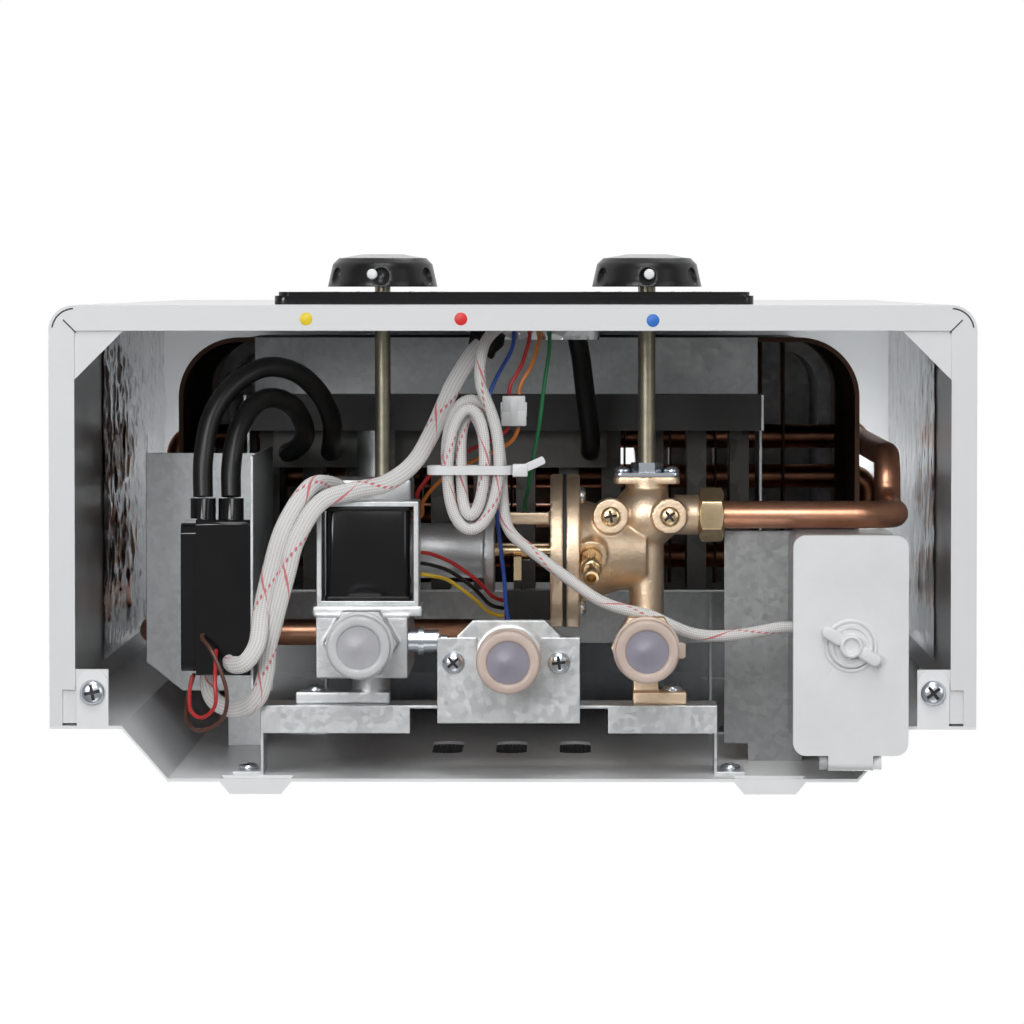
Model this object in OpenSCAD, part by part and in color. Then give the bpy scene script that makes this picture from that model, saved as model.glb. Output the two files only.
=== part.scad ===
// Wall-hung tankless gas water heater with an open bottom.
// Millimetres. X runs along the wall to the right, Y points into the wall, Z points up.
// Heights are worked out from the bottom rim of the casing. The finished model is then lowered so
// that its origin lies midway between the two hanging holes, on the plane of the wall.

/* [Casing] */
// Width of the casing
casing_w = 360; // [346:1:420]
// Depth from the wall to the casing's front
casing_d = 190; // [186:1:230]
// Height of the casing
casing_h = 600; // [580:1:720]
// Depth of the rear tray behind the cover
tray_d = 26.5; // [22:0.5:30]
// Sheet thickness of the cover
cover_t = 1; // [0.8:0.1:1.4]
// Sheet thickness of the rear panel and the brackets
panel_t = 1.2; // [0.8:0.1:1.4]
// Width of the lip round the open bottom
lip_w = 10; // [7:0.5:13]
// Radius of the cover's upright front corners
corner_r = 10; // [5:0.5:20]
// Leg of the triangular corner gussets
gusset_leg = 19; // [10:0.5:26]
// Thickness of the foil liners on the cover's sides
liner_t = 0.8; // [0.5:0.1:1.2]
// Height of the lower edge of the foil liners
liner_z = 235; // [200:1:300]

/* [Wall fixing] */
// Distance of the hanging holes below the casing's top
hang_drop = 40; // [34:1:80]
// Distance between the two hanging holes
hang_spacing = 200; // [190:1:210]
// Diameter of a hanging hole
hang_hole_d = 8; // [5:0.5:10]
// Width of a stamped wall pad
pad_w = 20; // [18:0.5:24]
// Height of a stamped wall pad
pad_h = 16; // [14:0.5:17]
// Distance from the wall to the front of the rear panel between its pads
stand_off = 6; // [5:0.5:8]
// Width of an air slot in the rear panel
slot_w = 12.8; // [8:0.2:16]
// Length of an air slot in the rear panel
slot_h = 60; // [40:1:90]
// Pitch of the air slots
slot_pitch = 26.4; // [24:0.2:32]

/* [Controls] */
// Distance of each knob from the middle of the casing
knob_x = 53; // [52:0.5:55]
// Height of the knobs and of both valves above the rim
valve_z = 80; // [78:0.5:86]
// Diameter of a knob at its base
knob_d = 44; // [36:0.5:50]
// Depth of a knob
knob_h = 11.5; // [9:0.5:18]
// Gap between a knob and the fascia
knob_gap = 2; // [1:0.1:4]
// Diameter of the inset in a knob's front
knob_cap_d = 33; // [26:0.5:35]
// Diameter of the round dimples in a knob's side
dimple_d = 8.4; // [6:0.2:10]
// Number of dimples round a knob
dimple_count = 6; // [4:1:10]
// Width of the fascia
fascia_w = 190; // [170:1:220]
// Height of the fascia
fascia_h = 60; // [54:1:70]
// Thickness of the fascia
fascia_t = 5; // [4:0.5:8]
// Width of the display window
window_w = 40; // [30:1:48]
// Height of the display window
window_h = 22; // [16:1:30]
// Diameter of the gas spindle
gas_spindle_d = 6.3; // [5:0.1:8]
// Diameter of the water spindle
water_spindle_d = 7; // [5:0.1:8]

/* [Ports] */
// Thread diameter of the three half-inch ports
port_d = 20.955; // [18:0.005:22]
// Length of a port below the rim
port_l = 22; // [16:0.5:26]
// Bore of a port
port_bore = 14; // [10:0.5:16]
// Gas port, distance from the middle
gas_x = -59; // [-62:0.5:-57]
// Gas port, distance from the wall
gas_y = 58.4; // [57:0.1:60]
// Hot port, distance from the middle
hot_x = -1.5; // [-3:0.5:1]
// Hot port, distance from the wall
hot_y = 52.6; // [51:0.1:54]
// Cold port, distance from the middle
cold_x = 52; // [51:0.5:54]
// Cold port, distance from the wall
cold_y = 56.8; // [55:0.1:58]
// Floor of a plastic port cap
cap_t = 1.4; // [1:0.1:2]
// Wall of a plastic port cap
cap_wall = 0.8; // [0.6:0.1:1.2]
// Clearance between a cap and its thread
cap_gap = 0.9; // [0.85:0.05:1.2]
// Length of a plastic port cap
cap_l = 16; // [12:0.5:18]

/* [Gas side] */
// Width of the gas castings
gas_w = 36; // [34:0.5:38]
// Height of the gas inlet casting's underside
gas_inlet_z = 14; // [12:0.5:16]
// Height of the joint between the two gas castings
gas_joint_z = 60; // [56:0.5:62]
// Height of the upper gas casting
gas_body_h = 42; // [40:0.5:48]
// Distance of the upper gas casting's front from the wall
gas_front_y = 120; // [118:0.5:124]
// Diameter of the barrel that links gas and water sides
barrel_d = 22; // [20:0.5:26]
// Diameter of the cock plug on the gas spindle
plug_d = 16; // [14:0.5:18]
// Diameter of the test nipple
nipple_d = 9; // [7:0.5:10]
// Length of the solenoid frame from front to back
solenoid_l = 41; // [38:0.5:44]
// Width of the solenoid frame
solenoid_w = 40; // [36:0.5:42]
// Height of the solenoid frame
solenoid_h = 30; // [26:0.5:32]
// Height of the underside of the solenoid frame
solenoid_z = 20; // [18:0.5:22]
// Plate thickness of the solenoid frame
yoke_t = 2; // [1.5:0.1:2.5]
// Diameter of the solenoid plunger
plunger_d = 10; // [8:0.5:11]
// Travel of the plunger and of the push rod
valve_travel = 4; // [2:0.5:5]
// Diameter of the riser to the manifold
riser_d = 16; // [12:0.5:18]

/* [Water side] */
// Distance of the diaphragm housing's axis from the wall
water_y = 91; // [89:0.5:93]
// Diameter of the diaphragm housing
housing_d = 61.5; // [58:0.5:64]
// Left face of the diaphragm housing, distance from the middle
housing_x = 14.4; // [13:0.2:16]
// Thickness of the diaphragm cover
housing_cover_t = 5.2; // [4:0.2:6]
// Thickness of the rubber diaphragm
diaphragm_t = 1; // [0.8:0.1:1.6]
// Thickness of the valve body's flange
housing_flange_t = 5.6; // [4:0.2:7]
// Diameter of the push rod
rod_d = 4; // [3:0.2:5]
// Diameter of the copper water pipes
pipe_d = 11; // [10:0.5:12]
// Wall of the copper water pipes
pipe_t = 1; // [0.8:0.1:1.5]
// Distance of the inlet pipe's axis from the wall
pipe_y = 105.5; // [104:0.5:107]
// Tilt of the drain plug from straight down
drain_tilt = 18; // [10:1:22]
// Diameter of the drain plug
drain_d = 8.5; // [7.5:0.5:11]
// Size of the union nut across its flats
nut_af = 19; // [17:0.5:22]

/* [Burner and heat exchanger] */
// Left side of the burner frame, distance from the middle
burner_left = 114; // [112:1:118]
// Right side of the burner frame, distance from the middle
burner_right = 103; // [101:1:106]
// Height of the burner frame's lower edge
burner_z = 190; // [188:1:194]
// Height of the burner frame
burner_h = 60; // [56:1:70]
// Width of one burner blade
blade_w = 8; // [6:0.5:9]
// Pitch of the burner blades
blade_pitch = 18; // [17.5:0.1:18.5]
// Number of burner blades
blade_count = 12; // [8:1:12]
// Width of the copper shell
shell_w = 292; // [286:1:293]
// Depth of the copper shell
shell_d = 130; // [126:1:134]
// Height of the flue hood above the copper shell
hood_h = 96; // [80:1:110]
// Corner radius of the copper shell
shell_r = 25; // [15:1:30]
// Wall of the copper shell
shell_t = 1; // [0.8:0.1:1.5]
// Number of heat exchanger fins
fin_count = 24; // [16:1:30]
// Thickness of a fin
fin_t = 0.8; // [0.6:0.1:1]
// Height of the fins
fin_h = 42; // [36:1:48]

/* [Flue] */
// Diameter of the flue collar
flue_d = 110; // [100:1:116]
// Height of the flue collar above the casing
flue_h = 40; // [30:1:60]
// Sheet thickness of the hood and the collar
flue_t = 1.2; // [0.8:0.1:1.6]

/* [Igniter and battery box] */
// Width of the igniter housing
igniter_w = 27.5; // [24:0.5:30]
// Length of the igniter housing
igniter_l = 61; // [56:0.5:64]
// Height of the igniter housing
igniter_h = 45; // [38:0.5:50]
// Width of the battery box lid
lid_w = 44.6; // [43:0.2:46]
// Length of the battery box lid
lid_l = 85.4; // [84:0.2:88]
// Thickness of the battery box lid
lid_t = 6; // [5:0.2:8]
// Height of the battery box body
box_h = 86; // [80:0.5:87]
// Wall of the battery box
box_t = 1.6; // [1.2:0.1:2]
// Middle of the battery box, distance from the casing's side
box_side = 49; // [48:0.5:50]
// Diameter of the lock knob's ring on the lid
lock_d = 17; // [14:0.5:19]
// Length of the lock knob across its wings
lock_l = 26; // [22:0.5:30]

/* [Harness] */
// Diameter of a woven sleeve
sleeve_d = 4.6; // [4:0.1:4.8]
// Diameter of an ignition lead's jacket
ignition_lead_d = 8; // [6:0.5:8]
// Diameter of a signal wire
wire_d = 1.6; // [1.2:0.1:2]

/* [Hidden] */
$fn = 48;
// Clearances: a running fit on the radius, a free gap, and the overshoot of a cut
fit = 0.05;
free = 0.3;
cut = 1;

// Casing
half_w = casing_w / 2;
hang_z = casing_h - hang_drop;
front_y = -casing_d;
panel_y = -stand_off;
foot_y = panel_y - panel_t;
tray_flange = 28;
tray_slope = 18;
tab_w = 12.3;
tab_l = 22;
tab_x = half_w - lip_w - tab_w / 2 - 2 * free;
tab_screw_y = 39.6;
lip_notch_w = 5;
lip_notch_l = 14;
pad_slope = 4;
slot_z = 120;
slot_x = -2;

// Ports
cap_rim_h = 3;
gas_cap_rim = 1;
hot_cap_rim = 0.4;
cold_cap_rim = 0.8;
port_neck = 2;
cold_hex_af = 24;
cold_hex_h = 10;
cold_foot_w = 21;
cold_foot_h = 16;
cold_lug_w = 10;
cold_lug_h = 12;
cold_neck_d = 16;

// Screws
screw_d = 3.8;
screw_head_d = 8;
screw_head_h = 2.4;
screw_l = 8;
sheet_screw_l = 5;
lug_screw_l = 10;
screw_hole_d = screw_d + free;

// Controls
fascia_bevel = 1.5;
fascia_r = 4;
window_t = 1.2;
knob_edge = 2.5;
knob_taper = 4;
knob_cap_t = 1.5;
knob_y = casing_d + fascia_t + knob_gap;
knob_web = 3;
dimple_ball_d = dimple_d * 1.15;
dimple_out = dimple_d / 4;
dimple_z = knob_h * 0.42;
spindle_hole_gap = 2;
module_w = 44;
module_h = 40;
module_d = 13;
module_x = 12;

// Valve rail, a hat-shaped strip on the rear panel
rail_left = 99;
rail_right = 80;
rail_y = 33.2;
rail_z = 18;
rail_h = 28;
rail_foot = 11;
rail_web_y = -rail_y + panel_t;

// Hot outlet bracket
hot_bracket_left = 29.4;
hot_bracket_right = 26.2;
hot_bracket_front = 60.6;
hot_bracket_back = 27.2;
hot_bracket_z = 5;
hot_bracket_top = 40;
hot_leg_h = 10;
hot_notch_d = 25;
hot_collar_d = 23;
hot_plate_t = 1.5;
hot_plate_front = 67.7;
hot_plate_back = 36;
hot_plate_chamfer = 7;
hot_plate_half = 20.6;
hot_socket_d = 18;
hot_socket_z = 24;
hot_screw_left = 21.6;
hot_screw_right = 19.5;
hot_screw_y = 1.7;

// Gas side
gas_left = gas_x - gas_w / 2;
gas_right = gas_x + gas_w / 2;
gas_back_y = 44;
solenoid_back_y = 72;
gas_flange_t = 4;
gas_flange_edge = 1.5;
solenoid_x = gas_x + 2;
solenoid_axis_z = solenoid_z + solenoid_h / 2;
coil_gap = 1;
coil_r = 4;
disc_d = 16;
disc_t = 3;
disc_gap = 1;
rod_room = 2;
gas_foot_t = 4.8;
gas_boss_d = 15;
gas_boss_x = gas_x + 3;
gas_foot_screw_x = gas_x - 19;
gas_foot_z = rail_z + rail_h / 2;
plug_l = 24;
plug_front_y = gas_front_y - 4;
barrel_end_x = -8;
barrel_flange_d = 34;
barrel_flange_t = 4;
barrel_bore = 17;
riser_z = 175;
riser_x = gas_x;
riser_bend_r = 20;
riser_t = 2;
gas_top_z = gas_joint_z + gas_body_h;
gas_way_d = 10;
gas_hex_af = 25;
gas_nipple_z = gas_inlet_z + 8;
nipple_l = 12;
nipple_ring_d = nipple_d + 2;
disc_room = 9;
disc_y = 5;
plunger_l = 28;

// Water side
tube_axis_x = knob_x;
water_flange_x = housing_x + housing_cover_t + diaphragm_t;
water_body_x = water_flange_x + housing_flange_t;
bolt_y = 22.4;
bolt_z = 13.2;
arm_end_x = 74;
nut_l = 10;
gland_y = 121;
gland_t = 3;
gland_plate_t = 1.5;
spindle_seat_y = 100;
cold_joint_z = 66;
drain_x = water_body_x + drain_d / 2 + free;
drain_offset_y = 5.7;
drain_seat = 23;
drain_l = 24;
drain_head_l = 15;
drain_nose_d = drain_d - 2;
drain_spout_d = 4;
drain_spout_l = 12;
drain_dir = [0, sin(drain_tilt), -cos(drain_tilt)];
drain_origin = [drain_x, -water_y - drain_offset_y, valve_z];
blank_d = 8;
blank_boss_d = 14;
blank_z = valve_z - 18;
blank_points = [[38.5, -pipe_y], [62, -pipe_y]];
collar_x = 3;
collar_d = 8;
collar_t = 3;
lever_pivot = [collar_x - 1.8, -water_y + 13];
lever_w = 3;
lever_t = 5;
lever_l = 10.6;
lever_z = valve_z - 2;
lever_ear_t = 2.5;
lever_pin_d = 1.6;
switch_off = 15.5;
switch_left = -4;
switch_d = 12;
switch_h = 14;
switch_drop = 2;
body_cone_d = 42;
body_neck_d = 25;
body_ball_d = 27;
upper_tube_d = 17;
lower_tube_d = 14;
lower_bore_d = 10;
cold_socket_d = 20;
arm_d = 16;
arm_bore_l = 14;
gland_w = 26.6;
gland_r = 3;
gland_h = 16;
gland_bolt_x = 10;
gland_bolt_l = 4;
gland_nut_af = 11;
gland_nut_h = 4;
drain_boss_d = 13;
drain_thread_d = 7;
drain_thread_l = 7;
chamber_d = 42;
chamber_l = 3;
blank_thread_d = 5;
blank_l = 6;
blank_head_h = 2;
bolt_d = 3;
bolt_head_d = 6.4;
bolt_head_h = 2.4;
bolt_end = 1;
bridge_off = 13;
bridge_arm_w = 5;
pipe_bend_r = 16;

// Heat exchanger and burner
shell_z = burner_z + burner_h;
hood_top = casing_h - 24;
shell_h = hood_top - hood_h - shell_z;
shell_top = shell_z + shell_h;
shell_front = 174;
shell_band_h = 8;
shell_back = shell_front - shell_d;
fin_z = shell_top - fin_h - 8;
tube_z = fin_z + fin_h / 2;
tube_count = 5;
tube_d = 11;
tube_first_y = 127;
tube_pitch = (tube_first_y - hot_y) / (tube_count - 1);
tube_end_x = shell_w / 2 + 6;
pipe_x = shell_w / 2 + 7.5;
elbow_d = 14;
pipe_end_z = tube_z - 10;
pipe_step_z = 150;
pipe_step_r = (tube_first_y - pipe_y) / 2 - free;
hot_run_z = 170;
burner_front = 150;
burner_back = 68;
burner_arm_x = 90;
burner_arm_z = 215;
manifold_front = 152;
manifold_back = 137;
manifold_z = 165;
manifold_h = 20;
nozzle_d = 5;
nozzle_l = 5;
blade_first_x = (burner_right - burner_left - (blade_count - 1) * blade_pitch) / 2;
blade_gap = 2;
blade_t = 0.8;
blade_h = 48;
electrode_d = 7;
electrode_y = 128;
electrode_x = [for (gap = [0, 1, 7]) blade_first_x + (gap + 0.5) * blade_pitch];
electrode_z = 178;
electrode_top = shell_z + 12;
electrode_neck_z = shell_z - 8;
electrode_plate_t = 1.5;
electrode_plate_d = 20;
electrode_plate_lap = 4;

// Flue
hood_inset = 6;
flue_gap = 2;
flue_flange = 3;

// Igniter
igniter_x = -102.5;
igniter_y = 45;
igniter_z = 15;
igniter_lid_t = 3;
igniter_r = 2;
igniter_lid_r = 4;
igniter_outlet_x = [-122, -111];
igniter_plate_z = 155;
igniter_plate_left = 154;
igniter_plate_front = 128;
igniter_plate_back = 29;
igniter_plate_cut = [15, 12];
igniter_flange_z = 12;
igniter_screw_y = 29;
igniter_screw_z = 20;
igniter_flange_front = 131;
igniter_flange_back = 40;
igniter_foot_left = 120;
igniter_foot_right = 106;
igniter_foot_x = (igniter_foot_left + igniter_foot_right) / 2;
foot_h = 17;
boot_d = 10;
boot_l = 8;

// Battery box
box_x = half_w - box_side;
lid_front = 101;
lid_back = lid_front - lid_l;
lid_overlap = 1.4;
box_back = lid_back + lid_overlap;
box_w = lid_w - 2 * lid_overlap;
box_r = 5;
lid_top = -1;
box_plate_z = lid_top + box_h;
hinge_d = 3;
hinge_y = lid_back - 3;
hinge_z = lid_top - 3;
hinge_w = 18;
hinge_knuckle_d = 6;
hinge_ear_t = 3;
hinge_ear_d = 5.2;
hinge_ear_h = -lid_top - 2 * fit;
case_gap = 0.5;
hinge_ear_gap = 0.4;
hinge_step = 2;
lock_y = (lid_front + lid_back) / 2;
lock_shaft_d = 6;
lock_h = 6;
lock_hub_d = 9;
lock_wing_w = 5;
lock_angle = 30;
lock_ring_h = 2;
lock_step = 0.6;
lock_bar_w = 4;
lock_bar_l = 14;
lock_bar_t = 2;
lock_gap = 1;
bridge_z = 3;
bridge_w = 10;
bridge_t = 2;
plate_left = arm_end_x + nut_l + free;
plate_right = half_w - tray_flange - tray_slope;
plate_front = 99;
plate_back = 13;
plate_foot_left = 94;
plate_foot_right = 116;
plate_foot_x = (plate_foot_left + plate_foot_right) / 2;

// Screws that hold sheet parts: seat of the head, direction into the metal, length of the shank
casing_fixings = [
    [[-tab_x, -tab_screw_y, 0], [0, 0, 1], screw_l],
    [[tab_x, -tab_screw_y, 0], [0, 0, 1], screw_l],
    [[-rail_left - rail_foot / 2, foot_y, gas_foot_z], [0, 1, 0], sheet_screw_l],
    [[rail_right + rail_foot / 2, foot_y, gas_foot_z], [0, 1, 0], sheet_screw_l],
    [[-igniter_foot_x, foot_y, igniter_plate_z + foot_h / 2], [0, 1, 0], sheet_screw_l],
    [[plate_foot_x, foot_y, box_plate_z + foot_h / 2], [0, 1, 0], sheet_screw_l],
    [[-burner_arm_x, foot_y, burner_arm_z + foot_h / 2], [0, 1, 0], sheet_screw_l],
    [[burner_arm_x, foot_y, burner_arm_z + foot_h / 2], [0, 1, 0], sheet_screw_l],
    [[gas_foot_screw_x, -rail_y - gas_foot_t, gas_foot_z], [0, 1, 0], lug_screw_l],
    [[cold_x + cold_foot_w / 2, -rail_y - gas_foot_t, gas_foot_z], [0, 1, 0], lug_screw_l],
    [[igniter_x + panel_t, -igniter_y - igniter_screw_y, igniter_z + igniter_screw_z], [-1, 0, 0], screw_l],
    [[hot_x - hot_screw_left, hot_screw_y - hot_y, hot_bracket_z], [0, 0, 1], screw_l],
    [[hot_x + hot_screw_right, hot_screw_y - hot_y, hot_bracket_z], [0, 0, 1], screw_l],
];

// Lowers what is measured from the rim to the origin at the hanging holes
module placed() translate([0, 0, -hang_z]) children();

function unit(v) = v / norm(v);
function across(v) = unit(abs(v[2]) < 0.9 ? cross(v, [0, 0, 1]) : cross(v, [1, 0, 0]));

// Puts local X and Y on two directions that are square to each other
module oriented(o, x, y) {
    z = cross(x, y);
    multmatrix([
        [x[0], y[0], z[0], o[0]],
        [x[1], y[1], z[1], o[1]],
        [x[2], y[2], z[2], o[2]],
        [0, 0, 0, 1],
    ]) children();
}

// Stands local Z on a point, along a direction
module along(p, d) {
    u = unit(d);
    x = across(u);
    oriented(p, x, cross(u, x)) children();
}

// Local X to the right, local Y up and local Z towards the room, at a distance from the wall
module facing_room(y, z = valve_z) translate([0, -y, z]) rotate([90, 0, 0]) children();

module rod(p, q, d) along(p, q - p) cylinder(d = d, h = norm(q - p));

// Flat centred rectangle with round corners
module rounded(w, h, r) {
    square([w - 2 * r, h], center = true);
    square([w, h - 2 * r], center = true);
    for (x = [-1, 1], y = [-1, 1]) translate([x * (w / 2 - r), y * (h / 2 - r)]) circle(r);
}

// Flat slot with round ends, standing along local Y
module slot(w, l) {
    square([w, l - w], center = true);
    for (y = [-1, 1]) translate([0, y * (l - w) / 2]) circle(d = w);
}

module ring(d, t) difference() {
    circle(d = d);
    circle(d = d - 2 * t);
}

// Length that a bend of radius r takes from each leg at the middle one of three points
function bend_trim(a, b, c, r) = r * tan(acos(unit(b - a) * unit(c - b)) / 2);

// Bent tube through a list of corner points, with a radius for each bend
module pipe(points, d, t, radii) {
    last = len(points) - 1;
    trims = [for (i = [0:last])
        i == 0 || i == last ? 0 : bend_trim(points[i - 1], points[i], points[i + 1], radii[i - 1])];
    for (i = [0:last - 1]) {
        u = unit(points[i + 1] - points[i]);
        a = points[i] + u * trims[i];
        b = points[i + 1] - u * trims[i + 1];
        along(a, u) linear_extrude(norm(b - a)) ring(d, t);
    }
    for (i = [1:1:last - 1]) {
        u = unit(points[i] - points[i - 1]);
        v = unit(points[i + 1] - points[i]);
        r = radii[i - 1];
        inward = unit(v - (u * v) * u);
        oriented(points[i] - u * trims[i] + r * inward, -inward, u)
            rotate_extrude(angle = acos(u * v)) translate([r, 0]) ring(d, t);
    }
}

// Pan-head screw, its head seated at p and its shank along a direction
module screw(p, d, l) {
    along(p - unit(d) * screw_head_h, d) cylinder(d = screw_head_d, h = screw_head_h);
    along(p, d) cylinder(d = screw_d, h = l);
}

// Holes for all the screws that hold sheet parts
module fixing_holes() {
    for (f = casing_fixings) along(f[0] - unit(f[1]) * cut, f[1])
        cylinder(d = screw_hole_d, h = f[2] + 2 * cut);
}

// Outline of the cover, seen from above, moved inwards by an inset
module cover_outline(inset) {
    w = casing_w - 2 * inset;
    r = corner_r - inset;
    y = front_y + inset;
    translate([-w / 2, y + r]) square([w, casing_d - tray_d - inset - r]);
    translate([-w / 2 + r, y]) square([w - 2 * r, 2 * r]);
    for (s = [-1, 1]) translate([s * (w / 2 - r), y + r]) circle(r);
}

module both_sides() for (s = [0, 1]) mirror([s, 0, 0]) children();

module front_cover() color("#efefec") difference() {
    union() {
        difference() {
            linear_extrude(casing_h) cover_outline(0);
            translate([0, 0, cover_t]) linear_extrude(casing_h - 2 * cover_t) {
                cover_outline(cover_t);
                translate([-half_w + cover_t, -tray_d - cut]) square([casing_w - 2 * cover_t, 2 * cut]);
            }
            translate([-half_w + lip_w, front_y + lip_w, -cut])
                cube([casing_w - 2 * lip_w, casing_d, cover_t + 2 * cut]);
            both_sides() translate([half_w - lip_w - cut, -tray_d - lip_notch_l, -cut])
                cube([lip_w + cut - lip_notch_w, lip_notch_l + cut, cover_t + 2 * cut]);
        }
        // Corner gussets on the lips
        both_sides() translate([half_w, front_y, cover_t]) linear_extrude(cover_t) polygon([
            [-lip_w / 2, lip_w / 2], [-lip_w / 2, lip_w + gusset_leg], [-lip_w, lip_w + gusset_leg],
            [-lip_w - gusset_leg, lip_w], [-lip_w - gusset_leg, lip_w / 2],
        ]);
        // Ears over the screw tabs of the rear panel
        both_sides() translate([tab_x - tab_w / 2, -tray_d - tab_l, panel_t])
            cube([half_w - cover_t / 2 - tab_x + tab_w / 2, tab_l - cut, cover_t]);
    }
    facing_room(casing_d - cover_t - cut) {
        translate([-knob_x, 0, 0]) cylinder(d = gas_spindle_d + 2 * spindle_hole_gap, h = cover_t + 2 * cut);
        translate([knob_x, 0, 0]) cylinder(d = water_spindle_d + 2 * spindle_hole_gap, h = cover_t + 2 * cut);
        linear_extrude(cover_t + 2 * cut) square([window_w / 2, window_h / 2], center = true);
    }
    translate([0, -(shell_front + shell_back) / 2, casing_h - cover_t - cut])
        cylinder(d = flue_d + 2 * flue_gap, h = cover_t + 2 * cut);
    fixing_holes();
}

// Stamped pad that reaches the wall; front is how far its section is moved forward
module pad_section(front) translate([0, -front]) polygon([
    [-pad_w / 2 - pad_slope, panel_y + panel_t], [-pad_w / 2, 0],
    [pad_w / 2, 0], [pad_w / 2 + pad_slope, panel_y + panel_t],
]);

module each_pad() for (x = [-1, 1], z = [0, hang_z - pad_h / 2]) translate([x * hang_spacing / 2, 0, z])
    children();

module back_panel() {
    left = [
        [-half_w, -tray_d], [-half_w + tray_flange, -tray_d],
        [-half_w + tray_flange + tray_slope, panel_y],
    ];
    front = concat(left, [for (i = [2:-1:0]) [-left[i][0], left[i][1]]]);
    back = [for (i = [5:-1:0]) front[i] + [0, panel_t]];
    color("#e4e4e2") difference() {
        union() {
            linear_extrude(casing_h) polygon(concat(front, back));
            translate([0, 0, casing_h - panel_t]) linear_extrude(panel_t)
                polygon([front[1], front[2], front[3], front[4]]);
            each_pad() linear_extrude(pad_h) pad_section(0);
            both_sides() translate([tab_x, -tray_d, 0]) linear_extrude(panel_t) {
                translate([-tab_w / 2, tab_w / 2 - tab_l]) square([tab_w, tab_l - tab_w / 2 + panel_t]);
                translate([0, tab_w / 2 - tab_l]) circle(d = tab_w);
            }
        }
        each_pad() translate([0, 0, panel_t]) linear_extrude(pad_h - 2 * panel_t) {
            pad_section(panel_t);
            translate([-pad_w / 2, panel_y - cut]) square([pad_w, 2 * cut]);
        }
        for (x = [-1, 1]) translate([x * hang_spacing / 2, cut, hang_z])
            rotate([90, 0, 0]) cylinder(d = hang_hole_d, h = panel_t + 2 * cut);
        for (i = [-1:1]) facing_room(stand_off - panel_t - cut, slot_z + slot_h / 2)
            translate([slot_x + i * slot_pitch, 0, 0]) linear_extrude(panel_t + 2 * cut) slot(slot_w, slot_h);
        fixing_holes();
    }
}

module foil_liners() color("#c9ccce") both_sides()
    translate([half_w - cover_t - liner_t, front_y + cover_t + corner_r, liner_z])
        cube([liner_t, casing_d - tray_d - cover_t - 2 * corner_r, casing_h - liner_z - lip_w]);

module casing_screws() color("#b4b6b8") for (f = casing_fixings) screw(f[0], f[1], f[2]);

module control_fascia() color("#141415") facing_room(casing_d) difference() {
    union() {
        linear_extrude(fascia_t - fascia_bevel) rounded(fascia_w, fascia_h, fascia_r);
        linear_extrude(fascia_t) rounded(fascia_w - 2 * fascia_bevel, fascia_h - 2 * fascia_bevel, fascia_r);
    }
    translate([-knob_x, 0, -cut]) cylinder(d = gas_spindle_d + spindle_hole_gap, h = fascia_t + 2 * cut);
    translate([knob_x, 0, -cut]) cylinder(d = water_spindle_d + spindle_hole_gap, h = fascia_t + 2 * cut);
    translate([0, 0, fascia_t - window_t]) linear_extrude(window_t + cut)
        rounded(window_w, window_h, fascia_r / 2);
}

module display_window() color("#2b2f33") facing_room(casing_d + fascia_t - window_t)
    linear_extrude(window_t) rounded(window_w - fit, window_h - fit, fascia_r / 2);

module control_module() color("#c5c8ca") facing_room(casing_d - cover_t - module_d)
    translate([module_x, 0, 0]) linear_extrude(module_d) rounded(module_w, module_h, fascia_r);

// Turned knob with round dimples in its side, one of them straight down
module knob(x, bore) facing_room(knob_y) translate([x, 0, 0]) difference() {
    union() {
        cylinder(d1 = knob_d, d2 = knob_d - knob_taper, h = knob_h - knob_edge);
        translate([0, 0, knob_h - knob_edge])
            cylinder(d1 = knob_d - knob_taper, d2 = knob_d - knob_taper - 2 * knob_edge, h = knob_edge);
    }
    translate([0, 0, knob_h - knob_cap_t]) cylinder(d = knob_cap_d, h = knob_cap_t + cut);
    translate([0, 0, -cut]) cylinder(d = bore, h = knob_h - knob_cap_t - knob_web + cut);
    for (i = [0:dimple_count - 1]) rotate(-90 + i * 360 / dimple_count)
        translate([knob_d / 2 + dimple_out, 0, dimple_z]) sphere(d = dimple_ball_d);
}

module knob_cap(x) facing_room(knob_y + knob_h - knob_cap_t) translate([x, 0, 0]) {
    cylinder(d = knob_cap_d - 2 * fit, h = knob_cap_t);
    translate([0, 0, knob_cap_t]) cylinder(d1 = knob_cap_d - 2 * fit, d2 = knob_cap_d / 2, h = knob_cap_t);
}

module spindle(x, d, seat_y) rod(
    [x, -seat_y, valve_z], [x, -(knob_y + knob_h - knob_cap_t - knob_web), valve_z], d);

module gas_knob() color("#151516") knob(-knob_x, gas_spindle_d);
module gas_knob_cap() color("#8a8d90") knob_cap(-knob_x);
module water_knob() color("#151516") knob(knob_x, water_spindle_d);
module water_knob_cap() color("#8a8d90") knob_cap(knob_x);

module gas_spindle() color("#8f8660") {
    spindle(-knob_x, gas_spindle_d, plug_front_y);
    rod([-knob_x, -plug_front_y, valve_z], [-knob_x, plug_l - plug_front_y, valve_z], plug_d);
}

module water_spindle() color("#7c7860") spindle(knob_x, water_spindle_d, spindle_seat_y + free);

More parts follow.
